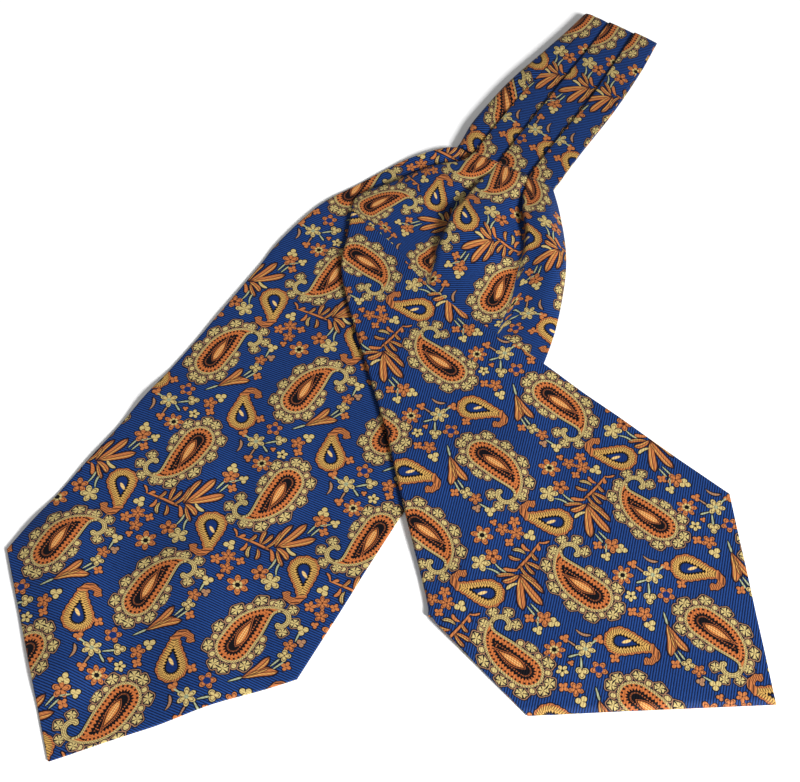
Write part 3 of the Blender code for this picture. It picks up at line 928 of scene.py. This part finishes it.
LEAF_SPRAY = Group(
    (-14, -22),
    (
        Leaf((-2.5, -29.8), (-2.0, -35.2), 1.8, 0.8),
        Leaf((-8.8, -30.2), (-11.4, -36.0), 2.4, 0.8),
        Leaf((-14.5, -27.5), (-18.8, -33.2), 2.0, 0.5),
        Leaf((4.4, -29.2), (-14.5, -28.2), 1.3, 0.5),
        Leaf((3.6, -29.4), (7.4, -25.8), 1.1, -0.6),
        Leaf((2.6, -29.3), (0.2, -26.4), 1.7, 0.2),
        Leaf((-2.4, -29.2), (-4.4, -23.6), 2.2, -0.5),
        Leaf((-8.6, -27.6), (-7.2, -19.8), 2.6, 0.4),
        Leaf((-9.2, -27.6), (-11.3, -20.0), 2.3, -0.4),
        Leaf((-11.4, -29.0), (-13.8, -16.6), 2.3, -1.4),
        Leaf((-15.6, -25.5), (-16.6, -10.6), 3.0, 0.9),
        Leaf((-16.5, -25.0), (-22.3, -6.6), 4.6, -0.6),
        Leaf((-16.5, -24.5), (-30.6, -11.8), 4.8, -0.5),
        Leaf((-16.5, -25.5), (-25.0, -28.6), 3.6, 0.9),
        Leaf((-17.5, -26.5), (-24.4, -33.0), 2.6, -0.4),
        Leaf((-5.2, -30.3), (-7.4, -36.8), 2.4, -1.0, "cream"),
        Leaf((-20.3, -22.4), (-27.0, -24.6), 1.8, -0.8, "cream"),
        Leaf((-25.4, -11.2), (-26.6, -5.2), 0.9, 0.0, "pale"),
        Leaf((-27.6, -11.6), (-29.2, -5.6), 0.9, 0.0, "pale"),
        Leaf((-24.8, -39.2), (-22.6, -31.6), 1.0, 0.8, "pale"),
        Leaf((-19.4, -38.2), (-19.6, -30.8), 1.0, -0.5, "pale"),
        Leaf((-33.0, -0.8), (-28.6, -4.2), 1.0, 0.0, "pale"),
    ),
    (
        Bloom((-27.6, -1.2), 4.3, 5, "orange", 0.3),
        Bloom((-26.2, 3.4), 2.9, 3, "cream", 1.2),
        Bloom((-32.0, -6.6), 2.5, 4),
        Bloom((-34.4, 0.4), 2.4, 3, "cream"),
        Bloom((-24.2, -43.0), 4.7, 5, "cream", 1.0, "brown"),
        Bloom((-17.0, -41.3), 4.2, 5, "orange", 0.5, "shade"),
        Bloom((-2.0, -47.4), 3.3, 5),
        Bloom((5.0, -45.6), 2.9, 5),
        Bloom((1.0, -41.0), 3.7, 6),
        Bloom((-5.4, -40.4), 2.3, 4),
        Bloom((4.0, -35.0), 3.0, 3, "cream", 0.6),
        Bloom((-2.0, -53.0), 1.8, 3),
        Bloom((-11.4, -52.5), 5.4, 6, "orange", 0.0, "black", "cream"),
    ),
)
FLOWER_SPRAY = Group(
    (20, 5),
    (
        Leaf((20.8, 22.5), (16.2, 19.8), 1.0, 0.0, "pale"),
        Leaf((20.2, 24.0), (15.6, 28.0), 1.0, 0.0, "pale"),
        Leaf((28.6, 23.4), (32.6, 23.8), 1.0, 0.0, "pale"),
        Leaf((30.4, 13.2), (32.6, 20.4), 1.4, -1.2, "brown"),
        Leaf((23.0, 14.0), (23.1, 18.6), 0.9, 0.0, "brown"),
    ),
    (
        Bloom((15.0, 12.5), 5.0, 7, "orange", 0.0, "black", "cream"),
        Bloom((25.0, 23.0), 4.6, 6, "cream", 0.0, "pale"),
        Bloom((14.3, 29.3), 3.1, 3, "cream", 2.5),
        Bloom((9.0, 22.0), 2.8, 5, "cream", 0.0, "black"),
        Bloom((21.0, 34.0), 4.1, 5, "orange", 0.0, None, "heart"),
        Bloom((30.5, 36.0), 2.4, 4),
        Bloom((33.4, 24.6), 2.4, 3, "orange", 0.5),
        Bloom((14.6, 22.6), 1.4, 3),
        Bloom((23.0, 12.4), 2.3, 3),
        Bloom((3.0, 27.4), 2.4, 4),
        Bloom((6.0, 32.3), 3.6, 5),
        Bloom((3.0, 38.0), 2.9, 3, "cream"),
    ),
)
TULIP_SPRAY = Group(
    (4, 50),
    (
        Leaf((12.8, 38.5), (8.6, 43.9), 1.0, 0.0, "pale"),
        Leaf((8.6, 43.7), (-3.8, 54.9), 4.8, 1.0),
        Leaf((8.2, 44.3), (3.4, 59.5), 4.2, -0.8),
        Leaf((7.3, 45.5), (0.6, 54.9), 2.4, 0.0),
        Leaf((-1.0, 54.5), (-3.6, 60.5), 0.9, 0.0, "pale"),
        Leaf((0.6, 55.5), (-1.2, 60.9), 0.9, 0.0, "pale"),
        Leaf((-2.8, 72.1), (-2.2, 76.9), 0.9, 0.0, "pale"),
    ),
    (
        Bloom((-5.8, 59.1), 2.4, 4),
        Bloom((-2.2, 63.5), 3.1, 4, "cream", 0.8),
        Bloom((-1.7, 69.1), 3.2, 5),
        Bloom((-5.6, 73.1), 2.2, 3, "brown"),
        Bloom((-2.6, 79.1), 2.8, 3, "cream", 2.6),
    ),
)


# Bare numbers in the functions below are the figures' own places, sizes and angles.
class Figures:
    """Collects each colour's figures as distances in millimetres, above 0 inside a figure."""

    def __init__(self):
        self.reach = {}

    def add(self, color, distance):
        known = self.reach.get(color)
        self.reach[color] = distance if known is None else higher(known, distance)


def near(u, v, place):
    """Coordinates from the nearest repeat of a place of the pattern."""
    from_row = v - place[1]
    y = wrap(from_row, ROW_LENGTH)
    rows = (from_row - y) * (1 / ROW_LENGTH)
    return wrap(u - place[0] - rows * ROW_SHIFT, REPEAT_ACROSS), y


def near_pair(u, v, places, reach):
    """Coordinates from the nearest of two places, of which the second is turned half round."""
    x, y = near(u, v, places[0])
    other_x, other_y = near(u, v, places[1])
    first = above(reach, absolute(y))
    return madd(first, x + other_x, 0.0 - other_x), madd(first, y + other_y, 0.0 - other_y)


def turned(x, y, place, degrees):
    """Coordinates from a place, along and to the left of a direction given in degrees."""
    c, s = math.cos(math.radians(degrees)), math.sin(math.radians(degrees))
    along = madd(x, c, madd(y, s, -(place[0] * c + place[1] * s)))
    aside = madd(x, -s, madd(y, c, place[0] * s - place[1] * c))
    return along, aside


def draw_bloom(figures, x, y, bloom):
    """A flower of round petals."""
    px, py = x - bloom.place[0], y - bloom.place[1]
    r = hypot(px, py)
    lobes = absolute(cosine(madd(direction(py, px), bloom.petals / 2, bloom.turn)))
    petals = madd(lobes, bloom.radius * PETAL_LOBE, bloom.radius * PETAL_ROOT) - r
    figures.add(bloom.color, petals)
    figures.add("edge", petals)
    gap = madd(lobes, -PETAL_GAP, 0.42 if bloom.radius > WIDE_BLOOM else 0.25)
    figures.add("shade", lower(gap, petals + 0.2))
    if bloom.ring:
        figures.add(bloom.ring, bloom.radius * 0.44 - r)
    if bloom.heart:
        figures.add(bloom.heart, bloom.radius * 0.24 - r)
    elif bloom.petals > 3:
        figures.add("shade", bloom.radius * 0.13 - r)
    if bloom.radius > 3.0:
        figures.add("shade", 0.20 - absolute(petals - bloom.radius * 0.22))


def draw_leaf(figures, x, y, leaf):
    """A leaf or a stem, wider near its start, bent aside by leaf.bend."""
    start, end = leaf.start, leaf.end
    middle = ((start[0] + end[0]) / 2, (start[1] + end[1]) / 2)
    degrees = math.degrees(math.atan2(end[1] - start[1], end[0] - start[0]))
    along, aside = turned(x, y, middle, degrees)
    share = along * (2 / math.dist(start, end))
    square = share * share
    aside = madd(square, -leaf.bend, aside + leaf.bend)
    side = absolute(aside * madd(share, -0.3, 1.0))
    half = leaf.width * (LEAF_HALF if leaf.width > WIDE_LEAF else STEM_HALF)
    distance = madd(square * square, -half, half) - side
    figures.add(leaf.color, distance)
    figures.add("edge", distance)
    if leaf.width > WIDE_LEAF:
        vein = lower(0.15 - side, distance - 0.3)
        figures.add("shade", higher(vein, 0.14 - absolute(distance - 0.05)))
        figures.add("gold", lower(LEAF_GLINT - absolute(aside - half * 0.45), distance - 0.25))


def draw_big_paisley(figures, x, y):
    """The large paisley, its body down and its tail curled to the right at the top."""
    hook_x, hook_y = x - 8.8, y + 14.8
    hook_r = hypot(hook_x, hook_y)
    hook_turn = direction(hook_y, hook_x)
    round_x, round_y = madd(x, 1 / 19.0, -9.0 / 19.0), madd(y, 1 / 22.2, -2.0 / 22.2)
    left_top = madd(hypot(round_x, round_y), -19.6, 19.6)
    upper, low = above(2.0, y), above(y, 8.5)
    left = madd(upper, left_top - (x + 10.1), x + 10.1)
    right = madd(soft(y, -14.8, -2.0), 0.9, 5.3) - x
    right = madd(above(-14.8, y), (hook_r - 3.4) - right, right)
    cap_x, cap_y = x + 1.95, madd(y, 0.84, -8.5 * 0.84)
    sides = lower(left, right)
    depth = madd(low, (8.1 - hypot(cap_x, cap_y)) - sides, sides)
    depth = lower(depth, (9.0 - x) * 3.0)
    curl = lower(1.05 - absolute(hook_r - 4.4), (hook_x + 1.0) * 2.0)
    curl = lower(curl, (1.35 - hook_turn) * 4.0)
    curl = higher(curl, 1.3 - hypot(x - 10.0, y + 11.2))
    whole = higher(depth, curl)
    figures.add("edge", whole)
    figures.add("cream", whole)
    figures.add("shade", 0.12 - absolute(curl - 0.6))

    # How far along the edge, in millimetres, for the marks and for the wider circle of scallops.
    left_s = madd(upper, madd(direction(0.0 - round_y, 0.0 - round_x), -20.5, 2.0) - y, y)
    on_right = above(madd(lower(y + 8.0, 0.0), 0.4, x), -1.7)
    s = madd(on_right, y - left_s, left_s)
    cap_turn = direction(cap_y, absolute(cap_x))
    lobe_s = madd(low, madd(cap_turn, 12.2, 8.5) - s, s)
    s = madd(low, madd(cap_turn, 6.4, 8.5) - s, s)
    tick = absolute(wrap(s, 2.05))
    figures.add("shade", lower(0.16 - absolute(wrap(s + depth, 1.0)), 0.5 - absolute(depth - 0.5)))
    figures.add("band", depth - 1.15)
    figures.add("black", lower(0.50 - absolute(depth - 1.85), 0.50 - tick))
    figures.add("black", depth - 3.1 - tick * 1.2)
    figures.add("fleck", lower(0.30 - absolute(depth - 5.4), 0.30 - absolute(wrap(s + 0.9, 1.4))))
    share = madd(y, 1 / 7.2, -0.4 / 7.2)
    axis = absolute(madd(y, -0.06, x + 1.6))
    drop = madd(share * share, -1.7, 1.7) * madd(share, 0.45, 1.0) - axis
    drop = lower(drop, depth - 4.2)
    figures.add("fleck", 0.15 - absolute(drop + 0.7))
    figures.add("drop", drop)
    figures.add("shine", lower(0.17 - absolute(axis - 0.5), drop - 0.5))

    scallops = lower(hook_r - 8.6, higher(2.5 - x, y + 1.6))
    draw_scallop(figures, wrap(lobe_s - 3.8, 10.6) * 0.80, depth + 3.0, scallops)
    bud = 1.7 - hypot(wrap(lobe_s + 1.5, 10.6) * 0.85, depth + 1.5)
    bud = lower(bud, lower(hook_r - 7.2, higher(2.5 - x, y + 9.0)))
    figures.add("edge", bud)
    figures.add("brown", lower(0.17 - absolute(bud), 1.0))
    figures.add("cream", bud - 0.55)
    scallops = lower(hook_turn + 2.65, 1.35 - hook_turn) * 8.0
    draw_scallop(figures, wrap(hook_turn - 0.85, 1.0) * 7.4, 7.5 - hook_r, scallops)


def draw_scallop(figures, x, y, shown):
    """One scallop of small cream petals inside a thin brown line."""
    r = hypot(x, y)
    turn = direction(y, x)
    around = madd(cosine(turn * 5.0), 0.22, 2.75) - r
    figures.add("edge", lower(around, shown))
    figures.add("brown", lower(0.15 - absolute(around), shown))
    petals = lower(around - 0.62, absolute(wrap(turn, 1.2566)) * 2.0 - 0.34)
    figures.add("cream", lower(petals, shown))


def draw_small_paisley(figures, x, y):
    """The small paisley, its round end low on the right and its tail curled over at the top."""
    t, a = turned(x, y, (2.2, 1.6), -122.0)
    past = higher(t, 0.0)
    a = madd(past * past, -0.006, a)
    side = madd(soft(t, -1.0, 17.0), -5.4, 7.6) - absolute(a)
    round_end = above(0.0, t)
    depth = lower(madd(round_end, (7.5 - hypot(t, a)) - side, side), 15.5 - t)
    hook = 1.55 - absolute(hypot(x + 0.9, y + 12.2) - 3.9)
    hook = lower(hook, 0.0 - madd(x, 0.42, y + 12.4))
    hook = higher(hook, 1.6 - hypot(x - 2.0, y + 14.2))
    whole = higher(depth, hook)
    s = madd(round_end, madd(direction(a, t), 5.6, 0.0) - t, t)
    whole = madd(cosine(s * 2.0), 0.22, whole)
    figures.add("edge", whole)
    figures.add("orange", whole)
    figures.add("gold", depth - 1.0)
    hatch = 0.17 - absolute(wrap(madd(depth, 0.5, s), 1.05))
    figures.add("shade", lower(1.4 - absolute(whole - 1.6), hatch))
    figures.add("black", depth - 3.2 - absolute(wrap(s, 1.5)) * 1.5)
    figures.add("heart", depth - 4.9)
    along, aside = turned(x, y, (0.3, -0.8), 32.0)
    figures.add("shine", 0.8 - hypot(along * 0.36, aside))


def draw_figures(u, v):
    """All figures of the weave at cloth coordinates u and v."""
    figures = Figures()
    draw_big_paisley(figures, *near_pair(u, v, BIG_PAISLEYS, BIG_REACH))
    draw_small_paisley(figures, *near_pair(u, v, SMALL_PAISLEYS, SMALL_REACH))
    for group in (LEAF_SPRAY, FLOWER_SPRAY, TULIP_SPRAY):
        x, y = near(u, v, group.place)
        x, y = x + float(group.place[0]), y + float(group.place[1])
        for leaf in group.leaves:
            draw_leaf(figures, x, y, leaf)
        for bloom in group.blooms:
            draw_bloom(figures, x, y, bloom)
    return figures.reach


def linear(color):
    """A colour given in display values from 0 to 255, as linear light, a little deeper."""
    parts = [part / 255 for part in color]
    light = [p / 12.92 if p <= 0.04045 else ((p + 0.055) / 1.055) ** 2.4 for p in parts]
    return tuple(value * SILK_DEPTH for value in light)


# The colours of the silk from 0 to 255, bottom first: each lies over those before it.
THREADS = (
    ("edge", (2, 7, 32)),
    ("brown", (176, 132, 98)),
    ("orange", (202, 124, 70)),
    ("cream", (214, 192, 126)),
    ("band", (204, 116, 60)),
    ("gold", (218, 172, 92)),
    ("pale", (176, 184, 146)),
    ("shade", (60, 28, 28)),
    ("black", (10, 7, 16)),
    ("fleck", (186, 104, 58)),
    ("heart", (16, 48, 112)),
    ("drop", (214, 132, 68)),
    ("shine", (244, 206, 132)),
)
SILK_DEPTH = 0.61
# Painted shade: the neckband's silk is darkened to this share of the blades' colours, because it
# lies in less light.
BAND_PAINTED_SHADE = 0.82
HALO = 0.6
BLEND = 0.16
RIB_LOW = (5, 12, 42)
RIB_HIGH = (32, 72, 142)
RIB_PITCH = 1.25
THREAD_PITCH = 0.42
RIPPLE_SCALE = 0.9
RIB_RIPPLE = 0.35
THREAD_RIPPLE = 0.2
RIB_SHADES = (0.15, 1.0)
THREAD_SHADE = 0.22
THREAD_RELIEF = 0.4
HATCH_TINT = (0.42, 0.30, 0.24)
HATCH_SHARE = 0.62
HATCH_SHADES = (0.75, 0.1)
HATCH_THREAD = 0.3
SILK_ROUGHNESS = 0.55
SILK_GLOSS = 0.12
SHEEN = 0.02
SHEEN_ROUGHNESS = 0.4
PLAIN_ROUGHNESS = 0.45
BUMP_STRENGTH = 0.5
BUMP_DISTANCE = 0.0002


def mix_colors(tree, share, first, second, blend="MIX"):
    """The first colour where share is 0, and blended with the second where it is 1."""
    node = tree.nodes.new("ShaderNodeMix")
    node.data_type = "RGBA"
    node.blend_type = blend
    connect(tree, share, node.inputs["Factor"])
    for color, socket in ((first, node.inputs[6]), (second, node.inputs[7])):
        if isinstance(color, bpy.types.NodeSocket):
            tree.links.new(color, socket)
        else:
            socket.default_value = (*color, 1.0)
    return node.outputs[2]


def make_weave():
    """The node group that turns cloth coordinates into the colour and the relief of the silk."""
    tree = bpy.data.node_groups.new("silk_weave", "ShaderNodeTree")
    for name in ("Cloth", "Ribs"):
        tree.interface.new_socket(name, in_out="INPUT", socket_type="NodeSocketVector")
    tree.interface.new_socket("Color", in_out="OUTPUT", socket_type="NodeSocketColor")
    tree.interface.new_socket("Relief", in_out="OUTPUT", socket_type="NodeSocketFloat")
    entry = tree.nodes.new("NodeGroupInput")
    exit_node = tree.nodes.new("NodeGroupOutput")
    places = []
    for name in ("Cloth", "Ribs"):
        parts = tree.nodes.new("ShaderNodeSeparateXYZ")
        tree.links.new(entry.outputs[name], parts.inputs[0])
        places.append((Value(parts.outputs[0]), Value(parts.outputs[1])))
    (u, v), (along, across) = places
    ripple = tree.nodes.new("ShaderNodeTexNoise")
    ripple.inputs["Scale"].default_value = RIPPLE_SCALE
    ripple.inputs["Detail"].default_value = 1.0
    tree.links.new(entry.outputs["Ribs"], ripple.inputs["Vector"])
    uneven = Value(ripple.outputs["Fac"])
    rib = absolute(wrap(madd(uneven, RIB_RIPPLE, across), RIB_PITCH)) * (2 / RIB_PITCH)
    thread = absolute(wrap(madd(uneven, THREAD_RIPPLE, along), THREAD_PITCH)) * (2 / THREAD_PITCH)
    height = soft(madd(thread, THREAD_SHADE, rib), *RIB_SHADES)
    color = mix_colors(tree, height, linear(RIB_LOW), linear(RIB_HIGH))
    reach = draw_figures(u, v)
    for name, shade in THREADS:
        widened = reach[name] + HALO if name == "edge" else reach[name]
        color = mix_colors(tree, soft(widened, -BLEND, BLEND), color, linear(shade))
    figure = soft(reach["edge"], -BLEND, BLEND)
    hatch = soft(madd(thread, HATCH_THREAD, rib), *HATCH_SHADES) * figure * HATCH_SHARE
    color = mix_colors(tree, hatch, color, HATCH_TINT, "MULTIPLY")
    tree.links.new(color, exit_node.inputs["Color"])
    tree.links.new(madd(thread, THREAD_RELIEF, rib).socket, exit_node.inputs["Relief"])
    return tree


# The hand tacks that hold the pleats at the seam: each from place to place, a few threads wide.
Tack = namedtuple("Tack", "start end height")
TACKS = (
    Tack((0.0540, 0.1262), (0.0492, 0.1210), 0.0056),
    Tack((0.0800, 0.1098), (0.0772, 0.1052), 0.0061),
)
THREADS_EACH = 4
THREAD_RADIUS = 0.00022
THREAD_SPREAD = 0.0006
THREAD_SIDES = 8
THREAD_STEPS = 8
THREAD_ARCH = 2.5
THREAD_COLOR = (0.004, 0.009, 0.03)


def make_tacks():
    """Short arched threads over each pleat's edge at the seam."""
    mesh = bmesh.new()
    for tack in TACKS:
        start, end = np.array(tack.start), np.array(tack.end)
        aside = side_normal(tack.start, tack.end)
        for thread in range(THREADS_EACH):
            offset = aside * (thread - (THREADS_EACH - 1) / 2) * THREAD_SPREAD
            rings = []
            for step in range(THREAD_STEPS + 1):
                share = step / THREAD_STEPS
                middle = start + (end - start) * share + offset
                rise = tack.height + THREAD_RADIUS * THREAD_ARCH * math.sin(math.pi * share)
                turns = np.linspace(0, 2 * math.pi, THREAD_SIDES, endpoint=False)
                rings.append([
                    mesh.verts.new((
                        *(middle + aside * THREAD_RADIUS * math.cos(turn)),
                        rise + THREAD_RADIUS * math.sin(turn),
                    ))
                    for turn in turns
                ])
            close_rings(mesh, rings)
    obj = object_of("pleat_tacks", mesh)
    obj.data.shade_smooth()
    obj.data.materials.append(make_material("tack_thread", THREAD_COLOR))
    return obj


def make_silk(name, weave, depth=1.0):
    """Woven silk with a soft sheen. A depth below 1 darkens all its colours evenly: painted shade,
    for a piece that lies in less light.
    """
    material = bpy.data.materials.new(name)
    material.use_nodes = True
    tree = material.node_tree
    shader = tree.nodes["Principled BSDF"]
    group = tree.nodes.new("ShaderNodeGroup")
    group.node_tree = weave
    for place in ("Cloth", "Ribs"):
        uv = tree.nodes.new("ShaderNodeUVMap")
        uv.uv_map = place
        tree.links.new(uv.outputs[0], group.inputs[place])
    # Painted shade: the weave's colours are multiplied by depth, which is darker for a piece in
    # less light.
    color = mix_colors(tree, 1.0, group.outputs["Color"], (depth, depth, depth), "MULTIPLY")
    tree.links.new(color, shader.inputs["Base Color"])
    bump = tree.nodes.new("ShaderNodeBump")
    bump.inputs["Strength"].default_value = BUMP_STRENGTH
    bump.inputs["Distance"].default_value = BUMP_DISTANCE
    tree.links.new(group.outputs["Relief"], bump.inputs["Height"])
    tree.links.new(bump.outputs[0], shader.inputs["Normal"])
    shader.inputs["Roughness"].default_value = SILK_ROUGHNESS
    shader.inputs["Specular IOR Level"].default_value = SILK_GLOSS
    shader.inputs["Sheen Weight"].default_value = SHEEN
    shader.inputs["Sheen Roughness"].default_value = SHEEN_ROUGHNESS
    return material


def make_material(name, color):
    material = bpy.data.materials.new(name)
    material.use_nodes = True
    shader = material.node_tree.nodes["Principled BSDF"]
    shader.inputs["Base Color"].default_value = (*color, 1.0)
    shader.inputs["Roughness"].default_value = PLAIN_ROUGHNESS
    return material


# The studio's square soft lights, which look at the middle of the cravat, and its surroundings.
Lamp = namedtuple("Lamp", "name place size power")
LAMPS = (
    Lamp("key", (1.35, -1.5, 1.25), 0.65, 138),
    Lamp("fill", (-1.1, -1.2, 1.5), 1.4, 6),
)
SURROUNDINGS = 0.31
FLOOR_REACH = 6.0
FLOOR_COLOR = (0.86, 0.86, 0.86)


def add_light(lamp):
    data = bpy.data.lights.new(lamp.name, "AREA")
    data.shape = "RECTANGLE"
    data.size = data.size_y = lamp.size
    data.energy = lamp.power
    obj = bpy.data.objects.new(lamp.name, data)
    obj.location = lamp.place
    obj.rotation_euler = (-Vector(lamp.place)).to_track_quat("-Z", "Y").to_euler()
    bpy.context.scene.collection.objects.link(obj)


def make_studio():
    """The pale floor, the soft lights and the pale surroundings."""
    mesh = bpy.data.meshes.new("floor")
    low, high = -FLOOR_REACH, FLOOR_REACH
    corners = ((low, low, 0), (high, low, 0), (high, high, 0), (low, high, 0))
    mesh.from_pydata(corners, [], [(0, 1, 2, 3)])
    floor = bpy.data.objects.new("floor", mesh)
    bpy.context.scene.collection.objects.link(floor)
    mesh.materials.append(make_material("floor_paper", FLOOR_COLOR))
    world = bpy.data.worlds.new("studio")
    world.use_nodes = True
    world.node_tree.nodes["Background"].inputs["Color"].default_value = (1, 1, 1, 1)
    world.node_tree.nodes["Background"].inputs["Strength"].default_value = SURROUNDINGS
    bpy.context.scene.world = world
    for lamp in LAMPS:
        add_light(lamp)


def make_camera():
    data = bpy.data.cameras.new("camera")
    data.sensor_width = SENSOR_WIDTH
    data.lens = FOCAL_PIXELS / IMAGE_WIDTH * SENSOR_WIDTH
    camera = bpy.data.objects.new("camera", data)
    level, up = math.cos(CAMERA_ELEVATION), math.sin(CAMERA_ELEVATION)
    back = Vector((0.0, -level, up)) * CAMERA_DISTANCE
    camera.location = Vector(CAMERA_TARGET) + back
    camera.rotation_euler = (math.pi / 2 - CAMERA_ELEVATION, 0.0, 0.0)
    bpy.context.scene.collection.objects.link(camera)
    bpy.context.scene.camera = camera


def clear_scene():
    for obj in list(bpy.data.objects):
        bpy.data.objects.remove(obj, do_unlink=True)


def main():
    clear_scene()
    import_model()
    make_camera()
    make_studio()
    bpy.context.scene.view_settings.view_transform = "Standard"
    weave = make_weave()
    under = make_under_blade()
    over = make_over_blade()
    silk = make_silk("blade_silk", weave)
    for piece, node in ((under, "blade_under"), (over, "blade_over")):
        piece.data.materials.append(silk)
        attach(piece, "root")
        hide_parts(node)
    band = make_neckband()
    # The neckband takes a darker copy of the silk: painted shade for its place in less light.
    band.data.materials.append(make_silk("neckband_silk", weave, BAND_PAINTED_SHADE))
    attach(band, "root")
    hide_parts("neckband")
    tacks = make_tacks()
    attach(tacks, "root")


main()
